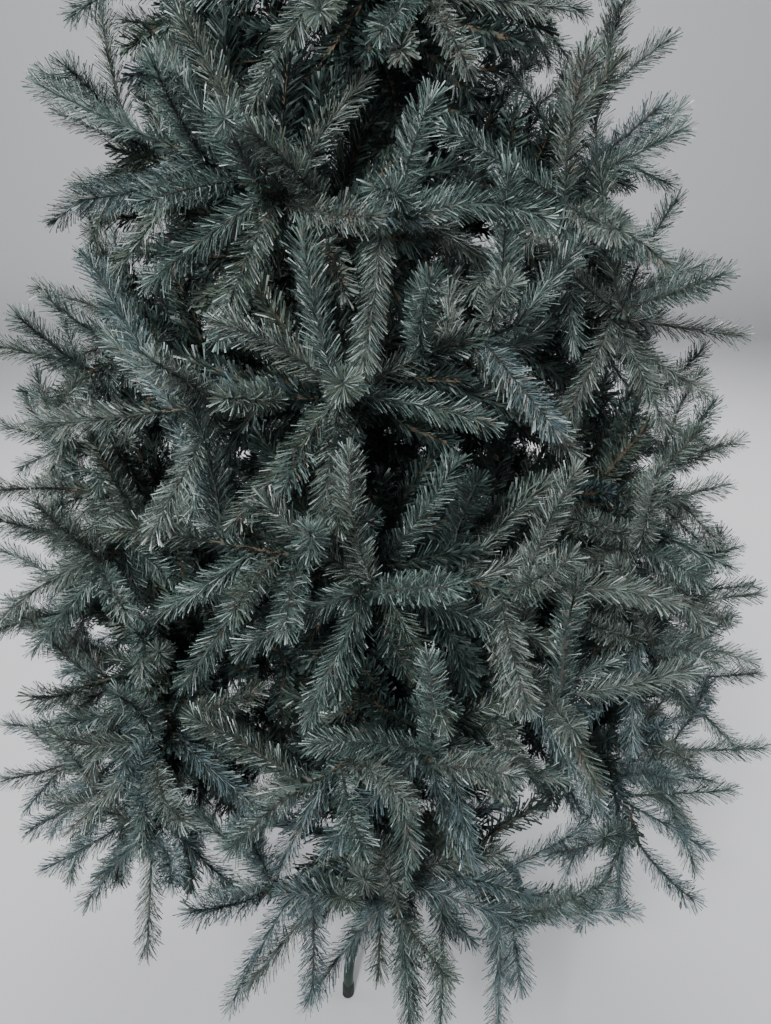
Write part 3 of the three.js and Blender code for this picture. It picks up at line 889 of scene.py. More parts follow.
@dataclass
class Needles:
    """Needles of all sprays: flat slivers that lean forward out of a wire, every second one turned end for end.

    Pairs run from hidden sprays to open ones in per_metre and widths, from least to most in sizes, and are a share
    at a spray's foot and what is gained above it in foot_sizes and tan_along.
    """

    sprays: Sprays
    random: np.random.Generator
    per_metre: Span = (1800, 4150)
    fewest: int = 12
    length: float = 0.0282
    widths: Span = (0.0032, 0.00128)
    sizes: Span = (0.86, 1.08)
    short: float = 0.6
    bare_foot: float = 0.03
    needled: float = 0.95
    lean: float = 47
    lean_loss: float = 2
    lean_scatter: float = 6
    turn_scatter: float = 0.5
    turn_by_spray: float = 1.7
    roll: float = 75
    dome: Span = (0.89, 0.95)
    dome_power: float = 0.55
    dome_loss: float = 0.22
    foot_ends: float = 0.12
    foot_sizes: Span = (0.7, 0.3)
    low_to: Span = (0.45, 0.85)
    high_from: Span = (1.2, 1.7)
    shade_strays: float = 0.24
    sea_strays: float = 0.32
    highlighted: float = 0.17
    tan_shares: tuple[float, ...] = (0.005, 0.035, 0.10)
    tan_odds: tuple[float, ...] = (0.5, 0.35, 0.15)
    tan_along: Span = (0.3, 1.4)

    def build(self) -> None:
        """Makes the needles, one piece or more for each level and tint."""
        sprays = self.sprays
        density = self.per_metre[0] + (self.per_metre[1] - self.per_metre[0]) * sprays.open_share
        counts = np.maximum(self.fewest, (sprays.bends.lengths() * density).astype(int))
        owner = np.repeat(np.arange(len(counts)), counts)
        number = np.arange(len(owner)) - np.repeat(np.cumsum(counts) - counts, counts)
        place = (number + self.random.random(len(owner))) / counts[owner]
        tints = self._tints(owner, place)
        strips = self._strips(owner, number, place, tints == list(Tint).index(Tint.TAN))
        levels = sprays.level[owner]
        for level_number, level in enumerate(Level):
            for tint_number, tint in enumerate(Tint):
                self._pieces(level, tint, strips[(levels == level_number) & (tints == tint_number)])

    def _tints(self, owner: np.ndarray, place: np.ndarray) -> np.ndarray:
        """Deals a colour to each spray, and lets some needles of every spray stray from it, painting light and shade
        into the tints.

        Args:
            owner: Number of each needle's spray.
            place: Share of the spray's length where each needle stands.

        Returns:
            The number of each needle's tint.
        """
        sea, shade_tint, highlight_tint, tan = (list(Tint).index(tint) for tint in (Tint.SEA, Tint.DEEP, Tint.FROST, Tint.TAN))
        bare, height = self.sprays.open_share, self.sprays.bends.end[:, 2]
        low, high = 1 - smoothstep(*self.low_to, height), smoothstep(*self.high_from, height)
        # Painted light by place: hidden sprays lean to the dark tint as painted shade and open ones to paler tints;
        # low sprays take more blue spruce as painted bluish light from below, and high sprays more of the darker sea
        # green as painted shade of a backlit top.
        weights = np.stack([
            (0.22 + 0.26 * bare) * (0.6 + 0.5 * high),  # sea green
            (0.02 + 0.32 * bare) * (1 - 0.8 * high - 0.7 * low),  # sage
            (0.03 + 0.80 * low) * (0.4 + 0.6 * bare),  # blue spruce
            0.16 - 0.06 * low,  # moss
            0.60 - 0.57 * bare,  # deep green
        ], axis=1)
        edges = np.cumsum(weights / weights.sum(axis=1, keepdims=True), axis=1)
        spray = (self.random.random((len(height), 1)) > edges).sum(axis=1)
        tan_most = self.random.choice(self.tan_shares, len(height), p=self.tan_odds) * bare
        dealt = self.random.random(len(owner))
        dealt_tints = np.where(dealt < self.sea_strays, sea, spray[owner])
        # Dark strays are painted shade between the needles.
        dealt_tints = np.where(dealt < self.shade_strays, shade_tint, dealt_tints)
        # Pale strays in open sprays are painted highlight.
        highlighted = (dealt > 1 - self.highlighted * bare[owner]) & (spray != shade_tint)[owner]
        dealt_tints = np.where(highlighted, highlight_tint, dealt_tints)
        foot, gain = self.tan_along
        faded = self.random.random(len(owner)) < tan_most[owner] * (foot + gain * place)
        return np.where(faded, tan, dealt_tints)

    def _strips(self, owner: np.ndarray, number: np.ndarray, place: np.ndarray, short: np.ndarray) -> np.ndarray:
        """Flat slivers round each wire.

        A needle leaves the wire's point at share t in the direction T cos(l) + R sin(l), where T is the tangent,
        R the spoke at a golden turn from the last and l the lean, which near a tip's end takes every value down
        to 0 and closes the end as a dome. Its flat is rolled about its own line. Even needles widen from a point to
        a cut head and odd ones narrow from a wide foot to a point, which closes the spray's core and its outline.

        Args:
            owner: Number of each needle's spray.
            number: Counted along its spray.
            place: Share of the spray's length.
            short: True for needles that stay near the wire.

        Returns:
            Corners, shape (needles, 3, 3).
        """
        sprays, total = self.sprays.pick(owner), len(owner)
        is_tip, bare = sprays.is_tip, sprays.open_share
        share = np.where(is_tip, self.bare_foot + self.needled * place, place)[:, None]
        point, way = sprays.bends.at(share)[:, 0], sprays.bends.along(share)[:, 0]
        side, lift = sides_of(way)
        scatter = self.random.normal(0, self.turn_scatter, total)
        turn = np.radians(GOLDEN_TURN) * number + scatter + owner * self.turn_by_spray
        cos, sin = np.cos(turn)[:, None], np.sin(turn)[:, None]
        spoke, across = side * cos + lift * sin, lift * cos - side * sin
        end = smoothstep(*self.dome, place) * is_tip
        lean = self.lean - self.lean_loss * place + self.random.normal(0, self.lean_scatter, total)
        lean = np.radians(lean * (1 - end * (1 - self.random.random(total) ** self.dome_power)))[:, None]
        heading = way * np.cos(lean) + spoke * np.sin(lean)
        facing = spoke * np.cos(lean) - way * np.sin(lean)
        roll = np.radians(self.random.uniform(-self.roll, self.roll, total))[:, None]
        flat = across * np.cos(roll) + facing * np.sin(roll)
        size = self.length * sprays.reach * self.random.uniform(*self.sizes, total) * (1 - self.dome_loss * end)
        foot, gain = self.foot_sizes
        size = size * (foot + gain * smoothstep(0, self.foot_ends, place)) * np.where(short, self.short, 1.0)
        tip = point + heading * size[:, None]
        half = flat * (np.interp(bare, (0, 1), self.widths) / 2)[:, None]
        widens = (number % 2 == 0)[:, None]
        sharp, cut = np.where(widens, point, tip), np.where(widens, tip, point)
        return np.stack([sharp, cut + half, cut - half], axis=1)

    @staticmethod
    def _pieces(level: Level, tint: Tint, strips: np.ndarray) -> None:
        """Makes one level's strips of one tint, split where they pass the most that a piece holds.

        Args:
            level: Third of the crown.
            tint: Colour of the strips.
            strips: Corners, shape (needles, 3, 3).
        """
        material = tint.value.material()
        for part, chunk in enumerate(np.array_split(strips, max(1, math.ceil(len(strips) / MOST_NEEDLES))), 1):
            skin = chunk.reshape(-1, 3), np.zeros((0, 4), int), np.arange(len(chunk) * 3).reshape(-1, 3)
            name = f"{tint.value.name}_{level.name.lower()}_{part}"
            new_piece(name, skin, material, level.masses(), smooth=False)


@dataclass
class Wires:
    """Limbs, side twigs and tip wires, wound with strip. Each pair of radii is at the foot and at the end."""

    framework: Framework
    tips: Sprays
    leader: list[Bends]
    limb_radii: Span = (0.0058, 0.0030)
    twig_radii: Span = (0.0036, 0.0022)
    open_tip_radii: Span = (0.0023, 0.0012)
    inner_tip_radii: Span = (0.0046, 0.0030)
    limb_start: float = 0.019
    tip_end: float = 0.97
    tip_rings: int = 4
    open_above: float = 0.5
    wind_pitch: float = 0.034
    wind_ridge: float = 0.16

    def build(self) -> None:
        """Makes the limbs, the twigs and the wires of the tips."""
        material = TapeFinish().material()
        tip_material = TapeFinish("tip_tape", brown=(0.060, 0.056, 0.048), green=(0.046, 0.064, 0.056)).material()
        boughs, masses = ([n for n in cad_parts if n.startswith(kind)] for kind in ("bough_", "mass_"))
        paths = Bends.of([limb.path for limb in self.framework.limbs])
        near = paths.shares_at(np.full((len(paths.start), 1), self.limb_start))
        limbs = self._wound(paths, near, self.limb_radii, steps=72, sides=6)
        new_piece("limb_wires", limbs, material, boughs)
        twigs = Bends.of([twig for limb in self.framework.limbs for twig in limb.twigs] + self.leader)
        side = self._wound(twigs, np.zeros((len(twigs.start), 1)), self.twig_radii, steps=28, sides=4)
        new_piece("twig_wires", side, material, masses)
        shown = self.tips.open_share > self.open_above
        for level in Level:
            here = self.tips.level == list(Level).index(level)
            for kind, mask, tape in (("tip", here & shown, tip_material), ("inner", here & ~shown, material)):
                skin = self._tips(self.tips.pick(mask))
                new_piece(f"{kind}_wires_{level.name.lower()}", skin, tape, level.masses())

    def _tips(self, tips: Sprays) -> Skin:
        """Three-sided tapered tubes along the tips, stouter where a tip is hidden.

        Args:
            tips: The tips of one level.

        Returns:
            Skins whose radius runs from foot to end, between the inner and the open radii by open share.
        """
        steps = np.linspace(0, self.tip_end, self.tip_rings)
        shares = np.broadcast_to(steps, (len(tips.level), len(steps)))
        inner = np.interp(steps, (0, 1), self.inner_tip_radii)
        bare = np.interp(steps, (0, 1), self.open_tip_radii)
        radii = (inner + (bare - inner) * tips.open_share[:, None])[..., None]
        return grid_skin(tubes_along(tips.bends, shares, radii, 3))

    def _wound(self, paths: Bends, start: np.ndarray, radii: Span, steps: int, sides: int) -> Skin:
        """Tapered tubes with the ridge of a wound strip.

        Args:
            paths: The curves.
            start: Share where each begins, shape (curves, 1).
            radii: At the first and last ring.
            steps: Rings.
            sides: Points in a ring.

        Returns:
            Skins of radius r (1 + ridge cos(a - 2 pi d / pitch)) at angle a and distance d.
        """
        shares = start + (1 - start) * np.linspace(0, 1, steps)
        distance = shares * paths.lengths()[:, None]
        ridge = np.cos(ring_angles(sides) - 2 * math.pi * distance[..., None] / self.wind_pitch)
        radius = np.linspace(*radii, steps)[None, :, None] * (1 + self.wind_ridge * ridge)
        return grid_skin(tubes_along(paths, shares, radius, sides))


@dataclass
class Pole:
    """Three plugged tubes with swaged collars, and a hub with hinge lugs under each tier.

    A row of the rim is what it stands past the collar's radius and its drop from the top, a row of the crest the
    share of the radius and the drop, and a row of the flange its inset from the hub's face and the drop.
    """

    framework: Framework
    foot: float = 0.062
    radii: tuple[float, float, float] = (0.016, 0.014, 0.011)
    joints: Span = (0.910, 1.610)
    top: float = 1.960
    plug_gap: float = 0.0003
    collar: float = 0.036
    swell: float = 0.0025
    lip: float = 0.0006
    edge: float = 0.0008
    swage: float = 0.004
    shoulder: float = 0.002
    rim: tuple[Span, ...] = ((0.0, 0.005), (0.0006, 0.003), (0.0006, 0.001), (-0.0008, 0.0))
    crest: tuple[Span, ...] = ((1.0, 0.004), (0.8, 0.001), (0.4, 0.0))
    hub_height: float = 0.028
    hub_wall: float = 0.0022
    hub_bore: float = 0.002
    flange_foot: float = 0.0024
    flange: tuple[Span, ...] = ((0.003, 0.0016), (0.0035, 0.0))
    lug_inset: float = 0.006
    lug_spread: float = 0.0078
    lug_half: Span = (0.0065, 0.0009)
    pin_inset: float = 0.005
    pin_half: float = 0.0098
    pin_shares: tuple[float, ...] = (0.0, 0.02, 0.98, 1.0)
    pin_radii: tuple[float, ...] = (0.0016, 0.0021, 0.0021, 0.0016)
    sides: int = 36

    def build(self) -> None:
        """Makes the three sections, each with the hubs it carries."""
        paint = TubePaint().material()
        bottoms, tops = (self.foot, *self.joints), (*self.joints, self.top)
        for index, name in enumerate(("pole_lower", "pole_middle", "pole_upper")):
            bottom, top = bottoms[index] + (self.plug_gap if index else 0), tops[index]
            skins = [grid_skin(turned(self._profile(index, bottom, top), self.sides))]
            for tier, height in enumerate(self.framework.hub_heights):
                if bottom < height < top:
                    skins += self._hub(tier, height, self.radii[index])
            new_piece(f"{name}_tube", joined(skins), paint, [name])

    def _profile(self, index: int, bottom: float, top: float) -> list[Span]:
        """The outline of a section: a straight tube that swells to its collar, with rolled edges.

        Args:
            index: Counted from the floor.
            bottom: Height of its lower end.
            top: Height of its upper end.

        Returns:
            Radius and height pairs, from the bottom up.
        """
        radius = self.radii[index]
        lower = [(radius - self.edge, bottom), (radius, bottom + self.edge)]
        if index == len(self.radii) - 1:
            return lower + [(radius * share, top - drop) for share, drop in self.crest]
        wide, start = radius + self.swell, top - self.collar
        swage = [(radius, start - self.swage), (wide - self.lip, start), (wide, start + self.shoulder)]
        return lower + swage + [(wide + past, top - drop) for past, drop in self.rim]

    def _hub(self, tier: int, height: float, radius: float) -> list[Skin]:
        """A hub: a sleeve with two flanges, and a pair of lugs and a pin for each limb.

        Args:
            tier: The tier whose limbs it holds.
            height: Of its middle.
            radius: Of the pole there.

        Returns:
            Skins of the sleeve, the lugs and the pins.
        """
        half, reach = self.hub_height / 2, self.framework.hub_face
        flange = [(reach - inset, half - drop) for inset, drop in self.flange]
        upper = [(radius + self.hub_wall, half - self.flange_foot), *flange, (radius - self.hub_bore, half)]
        outline = [(r, -z) for r, z in reversed(upper)] + upper
        skins = [grid_skin(turned([(r, z + height) for r, z in outline], self.sides))]
        for limb in (limb for limb in self.framework.limbs if limb.tier == tier):
            out, side = outward(limb.azimuth), outward(limb.azimuth + 90)
            for sign in (-1, 1):
                centre = out * (reach - self.lug_inset) + side * sign * self.lug_spread + UP * height
                wide, thick = self.lug_half
                skins.append(grid_skin(rounded_plate(centre, out, UP, side, wide, half - self.edge, thick)))
            spot = out * (reach - self.pin_inset)
            pin = Bends(*(np.array([spot + side * sign * self.pin_half + UP * height]) for sign in (-1, 0, 1)))
            shares, radii = np.array([self.pin_shares]), np.array(self.pin_radii)[None, :, None]
            skins.append(grid_skin(tubes_along(pin, shares, radii, 10)))
        return skins


def squared_circle(sides: int, power: float) -> np.ndarray:
    """Returns (|cos a|^p, |sin a|^p) with the signs of cos and sin, for each angle a, shape (sides, 2)."""
    angle = ring_angles(sides)
    return np.stack([np.sign(way) * np.abs(way) ** power for way in (np.cos(angle), np.sin(angle))], axis=-1)


def rounded_plate(centre: np.ndarray, across: np.ndarray, up: np.ndarray, through: np.ndarray, half_width: float,
                  half_height: float, half_thickness: float) -> np.ndarray:
    """A plate whose outline is a squared circle.

    Args:
        centre: Its middle.
        across: Direction of its width.
        up: Direction of its height.
        through: Direction of its thickness.
        half_width: Half its width.
        half_height: Half its height.
        half_thickness: Half its thickness.

    Returns:
        Four rings of squared circles along the thickness, wound the way that the thickness runs.
    """
    wide, high = squared_circle(20, 0.5).T
    high = high if np.cross(across, up) @ through > 0 else -high
    steps = np.array([(-1, 0.9), (-0.7, 1), (0.7, 1), (1, 0.9)])
    outline = wide[:, None] * half_width * across + high[:, None] * half_height * up
    return (centre + steps[:, :1, None] * half_thickness * through + steps[:, 1:, None] * outline)[None]


@dataclass
class Stand:
    """Sleeve on a block, four bent tube legs with rubber caps, and thumbscrews in the sleeve.

    A row of the sleeve's lip is what it stands past the tube and its drop from the top, a row of a cap's rib its
    inset and height, and a row of a cap's rim its inset and its drop from the cap's top.
    """

    leg_azimuth: float = -15
    leg_count: int = 4
    leg_radius: float = 0.0095
    leg_height: float = 0.072
    leg_reach: float = 0.300
    leg_plug: float = 0.004
    leg_sides: int = 28
    bend_radius: float = 0.042
    splay: float = 12
    cap_radius: float = 0.011
    cap_height: float = 0.026
    cap_plug: float = 0.004
    cap_seat: float = 0.001
    cap_edge: float = 0.0012
    cap_rib: tuple[Span, ...] = ((0.0, 0.006), (0.0004, 0.0068), (0.0, 0.0076))
    cap_rim: tuple[Span, ...] = ((0.0, 0.003), (0.0006, 0.001), (0.0016, 0.0))
    cap_sides: int = 32
    sleeve_radius: float = 0.020
    sleeve_top: float = 0.205
    sleeve_bottom: float = 0.056
    sleeve_ease: float = 0.001
    sleeve_lip: tuple[Span, ...] = ((0.0, 0.006), (0.0008, 0.004), (0.0006, 0.001), (-0.001, 0.0))
    sleeve_bore: Span = (0.0008, 0.001)
    sleeve_floor: float = 0.004
    sleeve_core: float = 0.004
    sleeve_sides: int = 48
    pole_radius: float = 0.0163
    block_width: float = 0.054
    block_height: float = 0.030
    block_edge: float = 0.0015
    screw_count: int = 3
    screw_drop: float = 0.030
    shank: tuple[float, ...] = (-0.002, 0.009, 0.020)
    thread: Span = (0.0026, 0.00025)
    thread_rings: int = 24
    wing_out: float = 0.022
    wing_half: Place = (0.007, 0.0095, 0.0013)

    def build(self) -> None:
        """Makes the sleeve, the legs and the caps."""
        paint, rubber = TubePaint("stand_paint").material(), CapRubber().material()
        new_piece("stand_socket", joined(self._sleeve()), paint, ["stand_sleeve"])
        for number in range(1, self.leg_count + 1):
            azimuth = self.leg_azimuth + (number - 1) * 360 / self.leg_count
            leg, cap = grid_skin(self._leg(azimuth)), grid_skin(self._cap(azimuth))
            new_piece(f"leg_tube_{number}", leg, paint, [f"stand_leg_{number}"])
            new_piece(f"leg_cap_{number}", cap, rubber, [f"foot_cap_{number}"])

    def _sleeve(self) -> list[Skin]:
        """The open tube with its rolled lip, and what it stands on and carries.

        Returns:
            Skins of the tube, of the block under it and of the thumbscrews.
        """
        outer, inner, core, ease = self.sleeve_radius, self.pole_radius, self.sleeve_core, self.sleeve_ease
        bottom, top, (flare, depth) = self.sleeve_bottom, self.sleeve_top, self.sleeve_bore
        profile = [
            (core, bottom), (outer - ease, bottom), (outer, bottom + ease),
            *((outer + past, top - drop) for past, drop in self.sleeve_lip),
            (inner + flare, top), (inner, top - depth), (inner, bottom + self.sleeve_floor),
            (core, bottom + self.sleeve_floor),
        ]
        skins = [grid_skin(turned(profile, self.sleeve_sides)), grid_skin(self._block())]
        for number in range(self.screw_count):
            skins += self._thumbscrew(self.leg_azimuth + 45 + 360 / self.screw_count * number)
        return skins

    def _block(self) -> np.ndarray:
        """The block: a squared circle turned to the legs, with eased edges.

        Returns:
            Its rings from the bottom up, shape (1, rings, sides, 3).
        """
        middle, wide, half, edge = self.leg_height, self.block_width / 2, self.block_height / 2, self.block_edge
        cos, sin = math.cos(math.radians(self.leg_azimuth)), math.sin(math.radians(self.leg_azimuth))
        x, y = squared_circle(40, 0.35).T
        outline = np.stack([x * cos - y * sin, x * sin + y * cos], axis=-1)
        rows = [(-half, wide - edge), (-half + edge, wide), (half - edge, wide), (half, wide - edge)]
        rings = [np.concatenate([outline * r, np.full((len(outline), 1), middle + z)], axis=1) for z, r in rows]
        return np.stack(rings)[None]

    def _thumbscrew(self, azimuth: float) -> list[Skin]:
        """A thumbscrew, level in the sleeve's upper part.

        Args:
            azimuth: Where it stands round the sleeve.

        Returns:
            Skins of its threaded shank and of its flat wing.
        """
        out, side = outward(azimuth), outward(azimuth + 90)
        lift, rings = UP * (self.sleeve_top - self.screw_drop), self.thread_rings
        shank = Bends(*(np.array([out * (self.sleeve_radius + r) + lift]) for r in self.shank))
        thread = self.thread[0] + self.thread[1] * np.cos(np.arange(rings) * math.pi)
        tube = tubes_along(shank, np.linspace(0, 1, rings)[None], thread[None, :, None], 12)
        middle = out * (self.sleeve_radius + self.wing_out) + lift
        return [grid_skin(tube), grid_skin(rounded_plate(middle, out, UP, side, *self.wing_half))]

    def _line(self, azimuth: float) -> tuple[np.ndarray, np.ndarray]:
        """The middle line of a leg.

        Args:
            azimuth: Of the leg.

        Returns:
            Points and unit tangents: level, then round an arc, then straight down to the foot's cap at the splay.
        """
        turn, splay = math.radians(90 - self.splay), math.radians(self.splay)
        foot_top = self.leg_height - self.bend_radius * (1 - math.cos(turn))
        bend_start = self.leg_reach - foot_top * math.tan(splay) - self.bend_radius * math.sin(turn)
        angle = np.concatenate([np.zeros(3), np.linspace(0, turn, 20)[1:], [turn, turn]])
        away = bend_start + self.bend_radius * np.sin(angle)
        away[:3] = np.linspace(self.block_width / 2 - self.leg_plug, bend_start, 3)
        high = self.leg_height - self.bend_radius * (1 - np.cos(angle))
        down = np.array([math.sin(splay), -math.cos(splay)])
        end = np.array([self.leg_reach, 0.0]) - down * (self.cap_height - self.cap_plug)
        away[-2:], high[-2:] = np.stack([end - down * self.cap_seat, end], axis=-1)
        out = outward(azimuth)
        points = away[:, None] * out + high[:, None] * UP
        tangents = np.cos(angle)[:, None] * out - np.sin(angle)[:, None] * UP
        return points, tangents

    def _leg(self, azimuth: float) -> np.ndarray:
        """A leg's tube, round its middle line.

        Args:
            azimuth: Of the leg.

        Returns:
            Its rings, shape (1, rings, sides, 3).
        """
        points, tangents = self._line(azimuth)
        side = np.cross(UP, outward(azimuth))
        spoke = spokes(side, np.cross(tangents, side), self.leg_sides)
        return (points[:, None] + self.leg_radius * spoke)[None]

    def _cap(self, azimuth: float) -> np.ndarray:
        """A cap on the leg's line: its foot lies flat on the floor, and its rim is rounded.

        Args:
            azimuth: Of the leg.

        Returns:
            Its rings from the floor up, shape (1, rings, sides, 3).
        """
        splay, out = math.radians(self.splay), outward(azimuth)
        up_leg = UP * math.cos(splay) - out * math.sin(splay)
        side = np.cross(UP, out)
        spoke = spokes(side, np.cross(up_leg, side), self.cap_sides)
        radius, height, edge = self.cap_radius, self.cap_height, self.cap_edge
        rows = [
            (radius - edge, 0.0), (radius, edge),
            *((radius - inset, up) for inset, up in self.cap_rib),
            *((radius - inset, height - drop) for inset, drop in self.cap_rim),
        ]
        foot = out * self.leg_reach
        rings = np.stack([foot + up_leg * z + spoke * r for r, z in rows])
        flat = rings[:2] - up_leg * (rings[:2, :, 2:] / up_leg[2])
        rings[:2] = flat + np.array([0.0, edge])[:, None, None] * UP
        return rings[None]


@dataclass
class Foliage:
    """The crown: tips on every limb, the leader on the pole's top, their wires and their needles.

    A row of the whorls is its distance back from the stem's end, its lean and its first turn. A row of the top tips
    gives the distances back, leans and turns of its tips, and their size. A fringe is its nearest distance from a
    line's end and the gap between its tips.
    """

    framework: Framework
    stars: tuple[int, ...] = (7, 7, 8, 7, 7, 7, 6)
    closeness: tuple[float, ...] = (0.85, 0.85, 0.92, 1.0, 0.85, 0.6, 0.45)
    small_from: int = 5
    small_scale: float = 0.88
    limb_fringe: Span = (0.095, 0.0138)
    twig_fringe: Span = (0.12, 0.024)
    fringe_reach: float = 0.6
    inner_end: float = 0.03
    leader_scale: float = 0.8
    leader_twigs: int = 4
    leader_azimuth: float = 30.0
    leader_reach: float = 0.092
    leader_rise: float = 0.066
    leader_foot: float = 0.015
    leader_bow: float = 0.012
    leader_star: int = 5
    step: float = 0.006
    pole_top: float = 1.960
    stem_top: float = 2.200
    collar_from: Span = (1.70, 1.83)
    collar_backs: tuple[float, ...] = (0.01, 0.06, 0.11, 0.16, 0.21)
    collar_tips: int = 5
    collar_lean: float = 66
    collar_twist: float = 400
    whorl_tips: int = 4
    whorl_scale: float = 0.9
    whorls: tuple[tuple[float, float, float], ...] = (
        (0.045, 42, 20), (0.085, 52, 75), (0.13, 58, 40), (0.17, 64, 0), (0.21, 70, 55),
    )
    top_tips: tuple[tuple[tuple[float, ...], tuple[float, ...], tuple[float, ...], float], ...] = (
        ((0.018, 0.0), (0, 0), (0, 90), 0.86), ((0.012, 0.012, 0.012), (14, 17, 15), (10, 130, 250), 0.62),
    )
    crest: Span = (2.26, 2.32)
    crest_back: float = 0.096
    crest_scale: float = 0.93

    def build(self) -> None:
        """Grows the tips, then makes the wires and the needles."""
        random = np.random.default_rng(SEED)
        grower = SprayGrower(self.framework.crown, random)
        for limb in self.framework.limbs:
            tier, scale = limb.tier, 1.0 if limb.tier < self.small_from else self.small_scale
            count, close = self.stars[tier], self.closeness[tier]
            reach = float(limb.path.lengths()[0]) - self.inner_end
            lines = [(limb.path, self.limb_fringe, reach)]
            lines += [(twig, self.twig_fringe, self.fringe_reach) for twig in limb.twigs]
            for line, (near, gap), far in lines:
                grower.star(line, count, scale, tier)
                grower.fringe(line, near, far, gap * close, scale, tier)
                grower.sleeve(line, tier)
        leader = list(self._leader_lines())
        self._grow_leader(grower, leader)
        sprays = Sprays.of(grower.grown)
        in_stars = int((sprays.open_share == 1).sum())
        log.info("%d sprays, %d of them in the open", len(sprays.level), in_stars)
        Wires(self.framework, sprays.pick(sprays.is_tip), leader).build()
        Needles(sprays, random).build()

    def _leader_lines(self) -> Iterator[Bends]:
        """The leader's stem and its side twigs.

        Yields:
            The stem, then each twig.
        """
        yield upright(self.pole_top, (self.pole_top + self.stem_top) / 2, self.stem_top)
        for number in range(self.leader_twigs):
            start = UP * (self.pole_top + self.leader_foot + self.step * number)
            out = outward(self.leader_azimuth + 360 / self.leader_twigs * number)
            end = out * self.leader_reach + UP * (self.pole_top + self.leader_rise)
            middle = (start + end) / 2 * np.array([1, 1, 0]) + UP * (start[2] + self.leader_bow)
            yield Bends(start[None], middle[None], end[None])

    def _grow_leader(self, grower: SprayGrower, lines: list[Bends]) -> None:
        """Grows the side twigs' stars, whorls round the stem and the pole's end, and upright tips on the top.

        Args:
            grower: What grows the tips.
            lines: The stem, then its side twigs.
        """
        stem, *twigs = lines
        tier, scale = LEADER_TIER, self.leader_scale
        collar, i = upright(*self.collar_from, self.pole_top), np.arange(self.collar_tips)
        for back in self.collar_backs:
            lean, turn = np.full(len(i), self.collar_lean), self.collar_twist * back + 360 / len(i) * i
            grower.grow(collar, back + self.step * i, lean, turn, scale, tier, False)
        for twig in twigs:
            grower.star(twig, self.leader_star, scale, tier)
        i = np.arange(self.whorl_tips)
        for back, lean, first in self.whorls:
            leans, turns = np.full(len(i), lean), first + 360 / len(i) * i
            grower.grow(stem, back + self.step * i, leans, turns, scale * self.whorl_scale, tier, True)
        for backs, leans, turns, size in self.top_tips:
            grower.grow(stem, np.array(backs), np.array(leans), np.array(turns), size, tier, True)
        crest = upright(self.stem_top, *self.crest)
        grower.grow(crest, np.array([self.crest_back]), np.zeros(1), np.zeros(1), self.crest_scale, tier, True)


@dataclass(frozen=True)
class PhotoCamera:
    """The camera of the photograph, worked out from the vanishing point of its uprights and from the floor tiles."""

    place: Place = (0.0, -1.25, 1.49)
    heading: float = 1.073
    pitch: float = -25.97
    roll: float = -1.50
    lens: float = 27.77
    sensor: float = 36

    def build(self) -> None:
        """Makes the camera: turned to its heading from +Y towards +X, pitched, then rolled about its own line."""
        data = bpy.data.cameras.new("photo_camera")
        data.lens, data.sensor_width = self.lens, self.sensor
        camera = in_scene("photo_camera", data)
        heading = Matrix.Rotation(math.radians(-self.heading), 4, "Z")
        pitch = Matrix.Rotation(math.radians(90 + self.pitch), 4, "X")
        roll = Matrix.Rotation(math.radians(self.roll), 4, "Z")
        camera.matrix_world = Matrix.Translation(self.place) @ heading @ pitch @ roll
        bpy.context.scene.camera = camera


@dataclass(frozen=True)
class Lamp:
    """One soft panel of light, aimed at a point."""

    name: str
    place: Place
    power: float
    size: float
    colour: Colour = (1, 1, 1)
    aim: Place = (0, 0, 1.1)

    def build(self) -> None:
        """Makes the panel."""
        data = bpy.data.lights.new(self.name, "AREA")
        data.energy, data.size, data.color = self.power, self.size, self.colour
        lamp = in_scene(self.name, data)
        lamp.location = self.place
        lamp.rotation_euler = (Vector(self.aim) - Vector(self.place)).to_track_quat("-Z", "Y").to_euler()


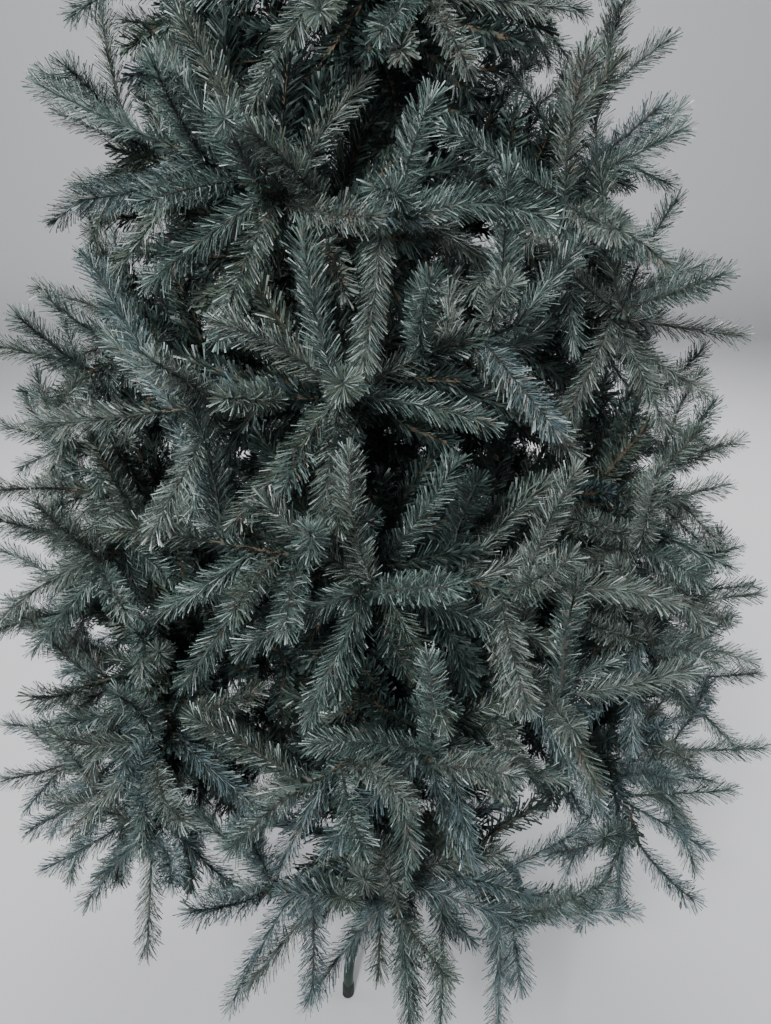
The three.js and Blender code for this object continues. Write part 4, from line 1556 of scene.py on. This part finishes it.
@dataclass
class Studio:
    """Pale floor that sweeps up to a wall, daylight from the front and above, and soft fill from sides and back."""

    floor_colour: Colour = (0.52, 0.52, 0.53)
    wall_colour: Colour = (0.84, 0.84, 0.85)
    blend_over: Span = (3.5, 10.0)
    floor_roughness: float = 0.7
    floor_middle: float = 0.001
    floor_reach: float = 8.0
    floor_sides: int = 96
    sweep: float = 4.0
    sweep_steps: int = 16
    wall_top: float = 13.0
    sky: Colour = (0.85, 0.89, 0.95)
    sky_strength: float = 0.27
    lamps: tuple[Lamp, ...] = (
        Lamp("daylight", (-0.75, -2.3, 2.7), 122, 0.55, (0.98, 0.99, 1.0), (0, 0, 0.9)),
        Lamp("side_fill", (3.5, 0.5, 2.3), 62, 2.4, (0.94, 0.97, 1.0)),
        Lamp("back_light", (0.6, 3.4, 3.0), 230, 2.6),
        Lamp("far_side_light", (-3.4, 1.6, 2.8), 80, 2.4),
        Lamp("wall_light", (0.0, 5.0, 4.8), 190, 3.0, aim=(0, 11.4, 2.6)),
    )

    def build(self) -> None:
        """Makes the floor, the sky, the lamps and the camera."""
        rings = turned(self._sweep(), self.floor_sides)[0]
        spots = np.arange(rings.shape[0] * rings.shape[1]).reshape(rings.shape[:2])
        mesh = bpy.data.meshes.new("studio_floor")
        mesh.from_pydata(rings.reshape(-1, 3).tolist(), [], ring_quads(spots)[:, ::-1].tolist())
        mesh.shade_smooth()
        floor = in_scene("studio_floor", mesh)
        graph = Graph("studio_floor")
        reach = graph.node("ShaderNodeVectorMath", {"operation": "LENGTH"}, {0: graph.place()})
        outer = Shade(graph, reach.outputs["Value"]).ramp(*self.blend_over)
        colour = graph.blend(outer, self.floor_colour, self.wall_colour)
        graph.feed(graph.shader, {"Base Color": colour, "Roughness": self.floor_roughness})
        mesh.materials.append(graph.material)
        world = bpy.data.worlds.new("studio_sky")
        world.use_nodes = True
        background = world.node_tree.nodes["Background"]
        background.inputs["Color"].default_value = (*self.sky, 1.0)
        background.inputs["Strength"].default_value = self.sky_strength
        bpy.context.scene.world = world
        for lamp in self.lamps:
            lamp.build()
        PhotoCamera().build()

    def _sweep(self) -> list[Span]:
        """The floor's outline from its middle out: level, then a quarter round up to the wall.

        Returns:
            Radius and height pairs.
        """
        turn = np.linspace(0, math.pi / 2, self.sweep_steps)
        away, high = self.floor_reach + self.sweep * np.sin(turn), self.sweep * (1 - np.cos(turn))
        return [(self.floor_middle, 0.0), *zip(away, high), (self.floor_reach + self.sweep, self.wall_top)]


def main() -> None:
    logging.basicConfig(level=logging.INFO, format="%(message)s")
    Studio().build()
    framework = Framework()
    framework.grow()
    Pole(framework).build()
    Stand().build()
    Foliage(framework).build()


if __name__ == "__main__":
    main()
